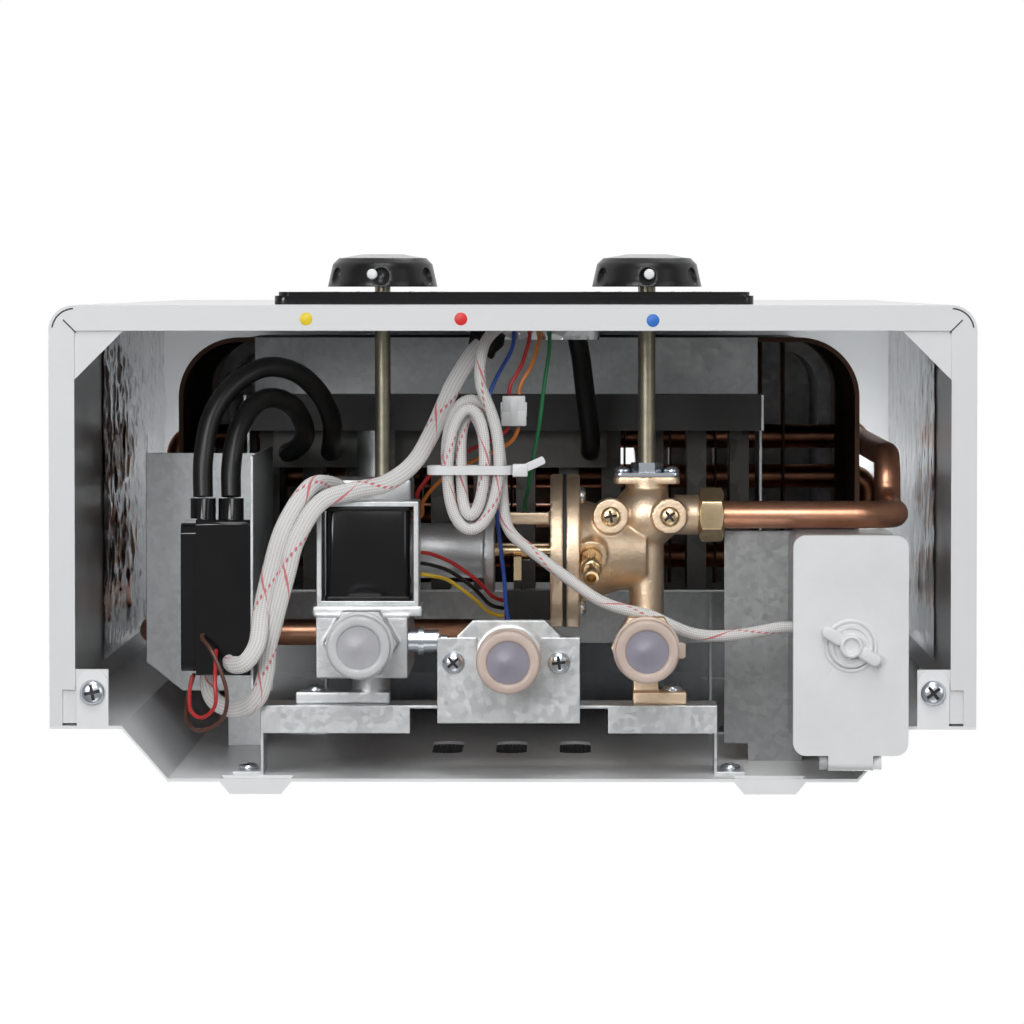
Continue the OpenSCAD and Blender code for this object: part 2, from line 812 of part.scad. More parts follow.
module valve_rail() color("#a9adb0") difference() {
    union() {
        translate([0, 0, rail_z]) linear_extrude(rail_h) {
            translate([-rail_left, -rail_y]) square([rail_left + rail_right, panel_t]);
            for (x = [-rail_left, rail_right - panel_t]) translate([x, -rail_y])
                square([panel_t, rail_y + panel_y]);
            translate([-rail_left - rail_foot, foot_y]) square([rail_foot + panel_t, panel_t]);
            translate([rail_right - panel_t, foot_y]) square([rail_foot + panel_t, panel_t]);
        }
        // Rolled lower edge, left open behind the hot outlet bracket
        for (x = [[-rail_left, -hot_bracket_left - rail_foot], [hot_bracket_right + rail_foot, rail_right]])
            translate([x[0], -rail_y, rail_z]) cube([x[1] - x[0], rail_foot, panel_t]);
    }
    fixing_holes();
}

// Threaded port that points down, with its bore
module port(x, y, top) translate([x, -y, -port_l]) cylinder(d = port_d, h = port_l + top);
module port_hole(x, y, top) translate([x, -y, -port_l - cut]) cylinder(d = port_bore, h = port_l + top + cut);

// Hexagon across its flats, standing on local Z
module hexagon(af, h) cylinder(d = af / cos(30), h = h, $fn = 6);

// Plastic cap over a port, with a rim at its open end
module port_cap(x, y, rim) translate([x, -y, -port_l - cap_t]) difference() {
    union() {
        cylinder(d = port_d + 2 * (cap_gap + cap_wall), h = cap_l);
        translate([0, 0, cap_l - cap_rim_h])
            cylinder(d = port_d + 2 * (cap_gap + cap_wall + rim), h = cap_rim_h);
    }
    translate([0, 0, cap_t]) cylinder(d = port_d + 2 * cap_gap, h = cap_l);
}

module gas_inlet_cap() color("#dcdad6") port_cap(gas_x, gas_y, gas_cap_rim);
module hot_outlet_cap() color("#dccbbd") port_cap(hot_x, hot_y, hot_cap_rim);
module cold_inlet_cap() color("#dccbbd") port_cap(cold_x, cold_y, cold_cap_rim);

module gas_inlet_body() color("#b7babd") difference() {
    union() {
        port(gas_x, gas_y, gas_inlet_z);
        translate([gas_x, -gas_y, port_neck]) hexagon(gas_hex_af, gas_inlet_z - port_neck);
        translate([gas_left, gas_flange_t - solenoid_back_y, gas_inlet_z])
            cube([gas_w, solenoid_back_y - gas_flange_t - gas_back_y, gas_joint_z - gas_inlet_z]);
        translate([solenoid_x - solenoid_w / 2 - gas_flange_edge, -solenoid_back_y,
            solenoid_z - gas_flange_edge])
            cube([solenoid_w + 2 * gas_flange_edge, gas_flange_t, solenoid_h + 2 * gas_flange_edge]);
        rod([gas_boss_x, -gas_back_y, gas_foot_z], [gas_boss_x, -rail_y, gas_foot_z], gas_boss_d);
        translate([gas_foot_screw_x - gas_boss_d / 2, -rail_y - gas_foot_t, gas_foot_z - gas_boss_d / 2])
            cube([gas_boss_x - gas_foot_screw_x + gas_boss_d, gas_foot_t, gas_boss_d]);
    }
    port_hole(gas_x, gas_y, solenoid_axis_z);
    rod([solenoid_x, -solenoid_back_y - cut, solenoid_axis_z],
        [solenoid_x, -solenoid_back_y + disc_room, solenoid_axis_z], disc_d + 2 * disc_gap);
    translate([gas_x, -gas_y, solenoid_axis_z - cut]) cylinder(d = gas_way_d, h = gas_joint_z);
    fixing_holes();
}

module gas_test_nipple() color("#c2c4c6") {
    seat = [gas_right, -gas_y, gas_nipple_z];
    along(seat, [1, 0, 0]) {
        cylinder(d = nipple_d, h = nipple_l);
        translate([0, 0, nipple_l / 3]) cylinder(d = nipple_ring_d, h = nipple_l / 6);
        translate([0, 0, nipple_l]) cylinder(d = nipple_d / 2, h = nipple_l / 4);
    }
}

module solenoid_frame() color("#c4c7c9") difference() {
    translate([solenoid_x - solenoid_w / 2, -solenoid_back_y - solenoid_l, solenoid_z])
        linear_extrude(solenoid_h) difference() {
            square([solenoid_w, solenoid_l]);
            translate([yoke_t, yoke_t]) square([solenoid_w - 2 * yoke_t, solenoid_l - 2 * yoke_t]);
        }
    rod([solenoid_x, -solenoid_back_y - yoke_t - cut, solenoid_axis_z],
        [solenoid_x, -solenoid_back_y + cut, solenoid_axis_z], plunger_d + 2 * free);
}

module solenoid_coil() color("#121212") facing_room(solenoid_back_y + yoke_t, solenoid_axis_z)
    translate([solenoid_x, 0, 0]) linear_extrude(solenoid_l - 2 * yoke_t) difference() {
        rounded(solenoid_w - 2 * yoke_t - 2 * coil_gap, solenoid_h - 2 * coil_gap, coil_r);
        circle(d = plunger_d + 2 * free);
    }

module solenoid_plunger() color("#9a9da0") {
    rod([solenoid_x, -solenoid_back_y - plunger_l, solenoid_axis_z],
        [solenoid_x, -solenoid_back_y + disc_y, solenoid_axis_z], plunger_d);
    rod([solenoid_x, -solenoid_back_y + disc_y, solenoid_axis_z],
        [solenoid_x, -solenoid_back_y + disc_y + disc_t, solenoid_axis_z], disc_d);
}

// Point on the axis that links the water and gas valves
function link_axis(x) = [x, -water_y, valve_z];

module gas_valve_body() color("#aeb1b4") difference() {
    union() {
        translate([gas_left, -gas_front_y, gas_joint_z]) cube([gas_w, gas_front_y - gas_back_y, gas_body_h]);
        rod(link_axis(gas_right), link_axis(barrel_end_x), barrel_d);
        rod(link_axis(barrel_end_x - barrel_flange_t), link_axis(barrel_end_x), barrel_flange_d);
    }
    rod([-knob_x, -plug_front_y, valve_z], [-knob_x, plug_l - plug_front_y, valve_z], plug_d + 2 * fit);
    rod([-knob_x, -gas_front_y - cut, valve_z], [-knob_x, cut - plug_front_y, valve_z],
        gas_spindle_d + 2 * fit);
    rod(link_axis(gas_right + barrel_flange_t), link_axis(barrel_end_x - barrel_flange_t), barrel_bore);
    rod(link_axis(barrel_end_x - barrel_flange_t - cut), link_axis(barrel_end_x + cut), rod_d + 2 * fit);
    translate([riser_x, -water_y + riser_d / 2, gas_top_z - riser_d / 2])
        cylinder(d = gas_way_d, h = riser_d);
}

module gas_riser() color("#9fa2a5") pipe([
    [riser_x, riser_d / 2 - water_y, gas_top_z], [riser_x, riser_d / 2 - water_y, riser_z],
    [riser_x, -manifold_back, riser_z],
], riser_d, riser_t, [riser_bend_r]);

module gas_manifold() color("#1d1e20") {
    left = panel_t - burner_left;
    translate([left, -manifold_front, manifold_z])
        cube([burner_right - panel_t - left, manifold_front - manifold_back, manifold_h]);
    for (i = [0:blade_count - 1])
        translate([blade_x(i), -(manifold_front + manifold_back) / 2, manifold_z + manifold_h])
            cylinder(d = nozzle_d, h = nozzle_l);
}

// Four screws round the diaphragm housing
bolt_points = [for (y = [-1, 1], z = [-1, 1]) [y * bolt_y - water_y, z * bolt_z + valve_z]];
gland_bolts = [for (s = [-1, 1]) [tube_axis_x + s * gland_bolt_x, -gland_y - gland_plate_t, valve_z]];

module bolt_holes() {
    for (b = bolt_points)
        rod([housing_x + bolt_end, b[0], b[1]], [water_body_x + cut, b[0], b[1]], bolt_d + 2 * free);
    for (b = gland_bolts) along(b - [0, cut, 0], [0, 1, 0])
        cylinder(d = bolt_d + 2 * free, h = gland_bolt_l + 2 * cut);
}

module water_valve_body() color("#c0964e") difference() {
    union() {
        rod(link_axis(water_flange_x), link_axis(water_body_x), housing_d);
        along(link_axis(water_body_x), [1, 0, 0])
            cylinder(d1 = body_cone_d, d2 = body_neck_d, h = tube_axis_x - water_body_x);
        translate([tube_axis_x, -pipe_y, valve_z]) sphere(d = body_ball_d);
        rod([tube_axis_x, -gland_y, valve_z], [tube_axis_x, -pipe_y, valve_z], upper_tube_d);
        rod([tube_axis_x, -pipe_y, valve_z], [tube_axis_x, -cold_y, valve_z], lower_tube_d);
        translate([cold_x, -cold_y, cold_joint_z])
            cylinder(d = cold_socket_d, h = valve_z - cold_joint_z + lower_tube_d / 2);
        rod([tube_axis_x, -pipe_y, valve_z], [arm_end_x, -pipe_y, valve_z], arm_d);
        facing_room(gland_y - gland_t) translate([tube_axis_x, 0, 0])
            linear_extrude(gland_t) rounded(gland_w, gland_h, gland_r);
        for (p = blank_points) translate([p[0], p[1], blank_z])
            cylinder(d = blank_boss_d, h = valve_z - blank_z);
        along(drain_origin, drain_dir) cylinder(d = drain_boss_d, h = drain_seat);
    }
    rod([knob_x, -gland_y - cut, valve_z], [knob_x, -spindle_seat_y, valve_z], water_spindle_d + 2 * fit);
    along(drain_origin + drain_dir * (drain_seat - drain_thread_l - free), drain_dir)
        cylinder(d = drain_thread_d + 2 * fit, h = drain_thread_l + cut);
    rod(link_axis(water_flange_x - cut), link_axis(water_flange_x + chamber_l), chamber_d);
    rod([arm_end_x - arm_bore_l, -pipe_y, valve_z], [arm_end_x + cut, -pipe_y, valve_z], pipe_d - 2 * pipe_t);
    translate([cold_x, -cold_y, cold_joint_z - cut])
        cylinder(d = lower_bore_d, h = valve_z - cold_joint_z + cut);
    for (p = blank_points) translate([p[0], p[1], blank_z - cut])
        cylinder(d = blank_thread_d, h = blank_l + cut);
    bolt_holes();
}

module diaphragm_cover() color("#b58a45") difference() {
    union() {
        rod(link_axis(housing_x), link_axis(housing_x + housing_cover_t), housing_d);
        // Two arms that bolt the water side to the gas barrel
        for (offset = [[-bridge_off, 0], [0, bridge_off]])
            translate([barrel_end_x, offset[0] - water_y - bridge_arm_w / 2,
                offset[1] + valve_z - bridge_arm_w / 2])
                cube([housing_x - barrel_end_x, bridge_arm_w, bridge_arm_w]);
    }
    rod(link_axis(housing_x - cut), link_axis(housing_x + housing_cover_t + cut), rod_d + 2 * fit);
    rod(link_axis(housing_x + housing_cover_t - chamber_l / 2),
        link_axis(housing_x + housing_cover_t + cut), chamber_d);
    bolt_holes();
}

module diaphragm() color("#20201f") difference() {
    rod(link_axis(housing_x + housing_cover_t), link_axis(water_flange_x), housing_d);
    bolt_holes();
}

module push_rod() color("#c8a35c") {
    right = housing_x + housing_cover_t - free;
    left = gas_right + barrel_flange_t + valve_travel + disc_t + rod_room;
    rod(link_axis(left), link_axis(right), rod_d);
    rod(link_axis(collar_x), link_axis(collar_x + collar_t), collar_d);
    rod(link_axis(left - disc_t), link_axis(left), barrel_bore - 2 * disc_gap);
}

module gland_plate() color("#4a4a48") difference() {
    facing_room(gland_y) translate([tube_axis_x, 0, 0]) {
        linear_extrude(gland_plate_t) rounded(gland_w, gland_h, gland_r);
        translate([0, 0, gland_plate_t]) hexagon(gland_nut_af, gland_nut_h);
    }
    rod([knob_x, -gland_y + cut, valve_z], [knob_x, -gland_y - gland_plate_t - gland_nut_h - cut, valve_z],
        water_spindle_d + 2 * free);
    bolt_holes();
}

module drain_plug() color("#b98f49") along(drain_origin + drain_dir * drain_seat, drain_dir) difference() {
    union() {
        translate([0, 0, -drain_thread_l]) cylinder(d = drain_thread_d, h = drain_thread_l);
        cylinder(d = drain_d, h = drain_head_l);
        translate([0, 0, drain_head_l]) cylinder(d = drain_nose_d, h = drain_l - drain_head_l);
    }
    translate([0, 0, drain_l - drain_spout_l]) cylinder(d = drain_spout_d, h = drain_l);
}

// Cheese-head bolt, its head seated at p and its shank along a direction
module bolt(p, d, l) {
    along(p - unit(d) * bolt_head_h, d) cylinder(d = bolt_head_d, h = bolt_head_h);
    along(p, d) cylinder(d = bolt_d, h = l);
}

module valve_screws() color("#c9c7be") {
    for (b = bolt_points)
        bolt([water_body_x, b[0], b[1]], [-1, 0, 0], water_body_x - housing_x - 2 * bolt_end);
    for (b = gland_bolts) bolt(b, [0, 1, 0], gland_bolt_l);
}

module blanking_plugs() color("#a8843f") for (p = blank_points) translate([p[0], p[1], blank_z]) {
    translate([0, 0, -blank_head_h - fit]) cylinder(d = blank_d, h = blank_head_h);
    translate([0, 0, -2 * fit]) cylinder(d = blank_thread_d - 4 * fit, h = blank_l - free);
}

module union_nut() color("#c79f55") along([arm_end_x, -pipe_y, valve_z], [1, 0, 0]) difference() {
    hexagon(nut_af, nut_l);
    translate([0, 0, -cut]) cylinder(d = pipe_d + 2 * fit, h = nut_l + 2 * cut);
}

// Climbs beside the exchanger, with a step forward to the first tube
module inlet_pipe() color("#b8714a") pipe([
    [arm_end_x, -pipe_y, valve_z], [pipe_x, -pipe_y, valve_z], [pipe_x, -pipe_y, pipe_step_z],
    [pipe_x, -tube_first_y, pipe_step_z], [pipe_x, -tube_first_y, pipe_end_z],
], pipe_d, pipe_t, [pipe_bend_r, pipe_step_r, pipe_step_r]);

module hot_pipe() color("#a9653f") pipe([
    [hot_x, -hot_y, hot_socket_z], [hot_x, -hot_y, hot_run_z],
    [-pipe_x, tube_y(tube_count - 1), hot_run_z], [-pipe_x, tube_y(tube_count - 1), pipe_end_z],
], pipe_d, pipe_t, [pipe_bend_r, pipe_bend_r]);

module cold_inlet() color("#b98f49") difference() {
    union() {
        port(cold_x, cold_y, port_neck);
        translate([cold_x, -cold_y, port_neck]) hexagon(cold_hex_af, cold_hex_h);
        translate([cold_x, -cold_y, port_neck]) cylinder(d = cold_neck_d, h = cold_joint_z - port_neck);
        translate([cold_x - cold_lug_w / 2, -cold_y, gas_foot_z - cold_lug_h / 2])
            cube([cold_lug_w, cold_y - rail_y, cold_lug_h]);
        translate([cold_x - cold_lug_w / 2, -rail_y - gas_foot_t, gas_foot_z - cold_foot_h / 2])
            cube([cold_foot_w, gas_foot_t, cold_foot_h]);
    }
    port_hole(cold_x, cold_y, cold_joint_z + cut);
    fixing_holes();
}

module hot_outlet() color("#c39a55") difference() {
    union() {
        port(hot_x, hot_y, port_neck);
        translate([hot_x, -hot_y, 0]) cylinder(d = hot_collar_d, h = hot_bracket_z + panel_t);
        translate([0, 0, hot_bracket_z + panel_t]) linear_extrude(hot_plate_t) polygon([
            [hot_x - hot_plate_half, -hot_plate_back], [hot_x + hot_plate_half, -hot_plate_back],
            [hot_x + hot_plate_half, hot_plate_chamfer - hot_plate_front],
            [hot_x + hot_plate_half - hot_plate_chamfer, -hot_plate_front],
            [hot_x - hot_plate_half + hot_plate_chamfer, -hot_plate_front],
            [hot_x - hot_plate_half, hot_plate_chamfer - hot_plate_front],
        ]);
        translate([hot_x, -hot_y, hot_bracket_z])
            cylinder(d = hot_socket_d, h = hot_socket_z - hot_bracket_z);
    }
    port_hole(hot_x, hot_y, hot_socket_z - pipe_t);
    translate([hot_x, -hot_y, 0]) cylinder(d = pipe_d - 2 * pipe_t, h = hot_socket_z + cut);
    fixing_holes();
}

module hot_bracket() color("#b3b6b9") difference() {
    union() {
        translate([-hot_bracket_left, -hot_bracket_front, hot_bracket_z])
            cube([hot_bracket_left + hot_bracket_right, hot_bracket_front - hot_bracket_back, panel_t]);
        translate([-hot_bracket_left, rail_web_y, hot_bracket_z])
            cube([hot_bracket_left + hot_bracket_right, panel_t, hot_bracket_top - hot_bracket_z]);
        for (x = [-hot_bracket_left, hot_bracket_right - panel_t])
            translate([x, -hot_bracket_front, hot_bracket_z])
                cube([panel_t, hot_bracket_front - rail_y - free, hot_leg_h]);
    }
    translate([hot_x, -hot_y, hot_bracket_z - cut]) cylinder(d = hot_notch_d, h = panel_t + 2 * cut);
    translate([hot_x - hot_notch_d / 2, -hot_bracket_front - cut, hot_bracket_z - cut])
        cube([hot_notch_d, hot_bracket_front - hot_y + cut, panel_t + 2 * cut]);
    fixing_holes();
}

module microswitch() color("#161617") {
    base_y = -water_y + switch_off;
    translate([switch_left, base_y, valve_z - switch_h / 2 - switch_drop])
        cube([housing_x - switch_left, switch_d, switch_h]);
    for (z = [lever_z - lever_t / 2 - free - lever_ear_t, lever_z + lever_t / 2 + free])
        translate([lever_pivot[0] - lever_w / 2, lever_pivot[1] - lever_w / 2, z])
            cube([lever_w, base_y - lever_pivot[1] + lever_w / 2, lever_ear_t]);
    translate([lever_pivot[0], lever_pivot[1], lever_z - lever_t]) cylinder(d = lever_pin_d, h = 2 * lever_t);
}

module microswitch_lever() color("#b9a26a") translate([lever_pivot[0], lever_pivot[1], lever_z - lever_t / 2])
    linear_extrude(lever_t) difference() {
        union() {
            circle(d = lever_w);
            translate([-lever_w / 2, -lever_l]) square([lever_w, lever_l]);
        }
        circle(d = lever_pin_d + 2 * fit);
    }

function tube_y(i) = -tube_first_y + i * tube_pitch;
function blade_x(i) = blade_first_x + i * blade_pitch;

// Rounded outline of the heat exchanger, moved inwards by an inset
module shell_outline(inset) translate([0, -(shell_front + shell_back) / 2])
    rounded(shell_w - 2 * inset, shell_d - 2 * inset, shell_r - inset);

module exchanger_shell() color("#8c4f33") difference() {
    union() {
        translate([0, 0, shell_z]) linear_extrude(shell_h) shell_outline(0);
        translate([0, 0, shell_z]) linear_extrude(shell_band_h) shell_outline(-shell_t);
    }
    translate([0, 0, shell_z - cut]) linear_extrude(shell_h + 2 * cut) shell_outline(shell_t);
    for (i = [0:tube_count - 1])
        rod([-shell_w, tube_y(i), tube_z], [shell_w, tube_y(i), tube_z], tube_d + 2 * fit);
}

module exchanger_fins() color("#9c5a3a") {
    span = shell_w - 2 * shell_r;
    for (f = [0:fin_count - 1]) translate([f * span / (fin_count - 1) - span / 2 - fin_t / 2, 0, 0])
        rotate([90, 0, 90]) linear_extrude(fin_t) difference() {
            translate([shell_t + cut - shell_front, fin_z]) square([shell_d - 2 * shell_t - 2 * cut, fin_h]);
            for (i = [0:tube_count - 1]) translate([tube_y(i), tube_z]) circle(d = tube_d + 2 * fit);
        }
}

// Straight tubes joined by half-circle bends, from the inlet elbow on the right to the outlet on the left
module exchanger_tubes() color("#a86542") {
    for (i = [0:tube_count - 1])
        rod([-tube_end_x, tube_y(i), tube_z], [tube_end_x, tube_y(i), tube_z], tube_d);
    for (i = [0:tube_count - 2]) {
        side = i % 2 == 0 ? -1 : 1;
        oriented([side * tube_end_x, tube_y(i + 0.5), tube_z], [0, -1, 0], [side, 0, 0])
            rotate_extrude(angle = 180) translate([tube_pitch / 2, 0]) circle(d = tube_d);
    }
    for (end = [[pipe_x, 0], [-pipe_x, tube_count - 1]]) translate([end[0], tube_y(end[1]), pipe_end_z])
        cylinder(d = elbow_d, h = tube_z - pipe_end_z + elbow_d / 2);
}

module flue_hood() color("#a7aaad") difference() {
    union() {
        translate([0, 0, shell_top]) linear_extrude(flue_t) shell_outline(0);
        translate([0, 0, shell_top]) linear_extrude(hood_top - shell_top) shell_outline(hood_inset);
    }
    translate([0, 0, shell_top - cut]) linear_extrude(hood_top - shell_top - flue_t + cut)
        shell_outline(hood_inset + flue_t);
    translate([0, -(shell_front + shell_back) / 2, shell_top])
        cylinder(d = flue_d - 2 * flue_t, h = casing_h);
}

module flue_collar() color("#a7aaad") translate([0, -(shell_front + shell_back) / 2, hood_top]) difference() {
    union() {
        cylinder(d = flue_d, h = casing_h + flue_h - hood_top);
        cylinder(d = flue_d + 2 * flue_flange, h = flue_t);
    }
    translate([0, 0, -cut]) cylinder(d = flue_d - 2 * flue_t, h = casing_h + flue_h);
}

module burner_frame() color("#a9adb0") difference() {
    w = burner_left + burner_right;
    union() {
        for (x = [-burner_left, burner_right - panel_t]) {
            translate([x, -burner_front, burner_z]) cube([panel_t, burner_front - burner_back, burner_h]);
            translate([x, -manifold_front, manifold_z])
                cube([panel_t, manifold_front - manifold_back, burner_z - manifold_z + cut]);
        }
        for (y = [-burner_front, -burner_back - panel_t])
            translate([-burner_left, y, burner_z]) cube([w, panel_t, burner_h]);
        for (y = [[-shell_front - shell_t, -burner_front], [-burner_back, shell_t - shell_back]])
            translate([-burner_left, y[0], shell_z - panel_t]) cube([w, y[1] - y[0], panel_t]);
        // Arms that carry the burner on the rear panel
        both_sides() translate([burner_arm_x - foot_h / 2, 0, burner_arm_z]) {
            translate([0, -burner_back, 0]) cube([panel_t, burner_back + panel_y, foot_h]);
            translate([0, foot_y, 0]) cube([foot_h, panel_t, foot_h]);
        }
    }
    fixing_holes();
}

// Section of a folded burner blade, moved inwards by an inset
module blade_section(inset) polygon([
    [inset - blade_w / 2, inset], [blade_w / 2 - inset, inset], [blade_w / 2 - inset, blade_h - blade_w],
    [(blade_w / 2 - inset) / 2, blade_h - inset], [(inset - blade_w / 2) / 2, blade_h - inset],
    [inset - blade_w / 2, blade_h - blade_w],
]);

module burner_blades() color("#3c3b3a") facing_room(burner_back + panel_t, burner_z + blade_gap)
    for (i = [0:blade_count - 1]) translate([blade_x(i), 0, 0])
        linear_extrude(burner_front - burner_back - 2 * panel_t) difference() {
            blade_section(0);
            blade_section(blade_t);
        }

module ignition_electrodes() color("#e6e2d8") {
    plate_z = manifold_z + manifold_h;
    for (x = electrode_x) translate([x, -electrode_y, 0]) {
        translate([0, 0, electrode_z]) cylinder(d = electrode_d, h = electrode_neck_z - electrode_z);
        translate([0, 0, electrode_neck_z])
            cylinder(d = electrode_d / 3, h = electrode_top - electrode_neck_z);
    }
    difference() {
        translate([electrode_x[0] - electrode_d, -manifold_back - electrode_plate_lap, plate_z])
            cube([electrode_x[2] - electrode_x[0] + 2 * electrode_d, electrode_plate_d, electrode_plate_t]);
        for (x = electrode_x) translate([x, -electrode_y, plate_z - cut])
            cylinder(d = electrode_d + 2 * fit, h = electrode_plate_t + 2 * cut);
    }
}

// Places of the two high-voltage outlets on the igniter's front
igniter_outlets = [for (x = igniter_outlet_x) [x, -igniter_y - igniter_l, igniter_z + igniter_h / 3]];

module igniter() color("#131314") difference() {
    union() {
        translate([igniter_x, -igniter_y - igniter_l / 2, igniter_z + igniter_h / 2]) rotate([90, 0, -90]) {
            linear_extrude(igniter_w - 2 * igniter_lid_t) rounded(igniter_l, igniter_h, igniter_r);
            linear_extrude(igniter_w)
                rounded(igniter_l - igniter_lid_t, igniter_h - igniter_lid_t, igniter_lid_r);
        }
        for (p = igniter_outlets) along(p, [0, -1, 0]) cylinder(d = boot_d, h = boot_l);
    }
    fixing_holes();
}

module igniter_bracket() color("#b3b6b9") difference() {
    union() {
        translate([0, 0, igniter_plate_z]) linear_extrude(panel_t) polygon([
            [-igniter_plate_left, -igniter_plate_front], [igniter_x + panel_t, -igniter_plate_front],
            [igniter_x + panel_t, -igniter_plate_back],
            [igniter_plate_cut[0] - igniter_plate_left, -igniter_plate_back],
            [-igniter_plate_left, -igniter_plate_back - igniter_plate_cut[1]],
        ]);
        translate([igniter_x, -igniter_flange_front, igniter_flange_z])
            cube([panel_t, igniter_flange_front - igniter_flange_back,
                igniter_plate_z + panel_t - igniter_flange_z]);
        translate([-igniter_foot_left, -igniter_plate_back - cut, igniter_plate_z])
            cube([igniter_foot_left - igniter_foot_right, igniter_plate_back + cut + panel_y, panel_t]);
        translate([-igniter_foot_left, foot_y, igniter_plate_z])
            cube([igniter_foot_left - igniter_foot_right, panel_t, foot_h]);
    }
    fixing_holes();
}

// Outline of the battery box and its lid, moved inwards by an inset
module box_outline(inset) translate([box_x, -(lid_front + lid_back) / 2])
    rounded(lid_w - 2 * inset, lid_l - 2 * inset, box_r - min(inset, box_r - 1));

// Outline of the box, cut back where the tray slopes past its rear corner
module case_outline(inset) {
    from = [half_w - tray_flange - tray_slope, panel_y];
    to = [half_w - tray_flange, -tray_d];
    out = unit([tray_d - stand_off, tray_slope]);
    corners = [2 * from - to, 2 * to - from];
    difference() {
        box_outline(inset);
        translate(-out * (case_gap + inset - lid_overlap))
            polygon([corners[0], corners[1], corners[1] + out * lid_l, corners[0] + out * lid_l]);
    }
}

module battery_box() color("#e9edf0") difference() {
    union() {
        difference() {
            translate([0, 0, lid_top]) linear_extrude(box_h) case_outline(lid_overlap);
            translate([0, 0, lid_top - cut]) linear_extrude(box_h - box_t + cut)
                case_outline(lid_overlap + box_t);
        }
        // Bridge that the lock's bar turns behind
        translate([box_x - box_w / 2 + box_t / 2, -lock_y - bridge_w / 2, bridge_z])
            cube([box_w - box_t, bridge_w, bridge_t]);
        // Hinge ears with their pin
        for (s = [-1, 1]) translate([box_x + s * (hinge_w + hinge_ear_t) / 2 - hinge_ear_t / 2, 0, 0]) {
            translate([0, -box_back - box_t / 2, lid_top])
                cube([hinge_ear_t, box_back + box_t / 2 - hinge_y + hinge_ear_d / 2, hinge_ear_h]);
            translate([0, hinge_ear_gap - lid_back, hinge_z])
                cube([hinge_ear_t, lid_back - hinge_ear_gap - hinge_y + hinge_ear_d / 2,
                    lid_top - hinge_z + hinge_ear_h / 2]);
            rod([0, -hinge_y, hinge_z], [hinge_ear_t, -hinge_y, hinge_z], hinge_ear_d);
        }
        rod([box_x - hinge_w / 2 - cut, -hinge_y, hinge_z], [box_x + hinge_w / 2 + cut, -hinge_y, hinge_z],
            hinge_d);
    }
    translate([box_x, -lock_y, bridge_z - cut]) linear_extrude(bridge_t + 2 * cut) {
        square([lock_bar_w + 2 * lock_gap, lock_bar_l + 4 * lock_gap], center = true);
        circle(d = lock_shaft_d + 2 * lock_gap);
    }
}

module battery_lid() color("#f0f1f0") difference() {
    union() {
        translate([0, 0, lid_top - lid_t]) linear_extrude(lid_t) box_outline(0);
        translate([box_x - hinge_w / 2 + free, -lid_back - cut, lid_top - lid_t])
            cube([hinge_w - 2 * free, lid_back + cut - hinge_y, lid_t - hinge_step]);
        rod([box_x - hinge_w / 2 + free, -hinge_y, hinge_z], [box_x + hinge_w / 2 - free, -hinge_y, hinge_z],
            hinge_knuckle_d);
    }
    rod([box_x - hinge_w, -hinge_y, hinge_z], [box_x + hinge_w, -hinge_y, hinge_z], hinge_d + 2 * fit);
    translate([box_x, -lock_y, lid_top - lid_t - cut])
        cylinder(d = lock_shaft_d + 2 * fit, h = lid_t + 2 * cut);
}

module battery_lock() color("#eceded") translate([box_x, -lock_y, 0]) {
    face = lid_top - lid_t;
    translate([0, 0, face - lock_ring_h]) cylinder(d = lock_d, h = lock_ring_h);
    rotate(lock_angle) translate([-lock_l / 2, -lock_wing_w / 2, face - lock_h + lock_step])
        cube([lock_l, lock_wing_w, lock_h - lock_step - lock_ring_h / 2]);
    translate([0, 0, face - lock_h]) cylinder(d = lock_hub_d, h = lock_h);
    translate([0, 0, face - cut])
        cylinder(d = lock_shaft_d, h = bridge_z + bridge_t + free + lock_bar_t / 2 - face + cut);
    translate([-lock_bar_w / 2, -lock_bar_l / 2, bridge_z + bridge_t + free])
        cube([lock_bar_w, lock_bar_l, lock_bar_t]);
}

module battery_bracket() color("#adb1b4") difference() {
    union() {
        translate([plate_left, -plate_front, box_plate_z])
            cube([plate_right - plate_left, plate_front - plate_back, panel_t]);
        translate([plate_foot_left, -plate_back - cut, box_plate_z])
            cube([plate_foot_right - plate_foot_left, plate_back + cut + panel_y, panel_t]);
        translate([plate_foot_left, foot_y, box_plate_z])
            cube([plate_foot_right - plate_foot_left, panel_t, foot_h]);
    }
    fixing_holes();
}

// Points on a smooth curve through hand-chosen points, with a number of steps to each span
function clamped(p, i) = p[max(0, min(len(p) - 1, i))];
function between(a, b, c, d, t) = 0.5 * (2 * b + (c - a) * t + (2 * a - 5 * b + 4 * c - d) * t * t
    + (3 * b - a - 3 * c + d) * t * t * t);
function smooth(p, steps) = concat([for (i = [0:len(p) - 2], s = [0:steps - 1])
    between(clamped(p, i - 1), p[i], p[i + 1], clamped(p, i + 2), s / steps)], [p[len(p) - 1]]);

// Directions square to a curve, carried along it without twist
// Points of a route, moved with the control module and the battery box from where they are drawn
drawn_d = 190;
drawn_box_x = 131;
route_front = 156;
route_right = 86;
route_span = 20;
function share(v, start) = max(0, min(1, (v - start) / route_span));
function follow(p) = [for (q = p) q + [
    (box_x - drawn_box_x) * share(q[0], route_right), (drawn_d - casing_d) * share(-q[1], route_front), 0]];
function heading(p, i) = unit(clamped(p, i + 1) - clamped(p, i - 1));
function sideways(p, i = 0, last = [0, 0, 0], found = []) = i == len(p) ? found :
    let (t = heading(p, i), n = i == 0 ? across(t) : unit(last - (last * t) * t))
    sideways(p, i + 1, n, concat(found, [n]));

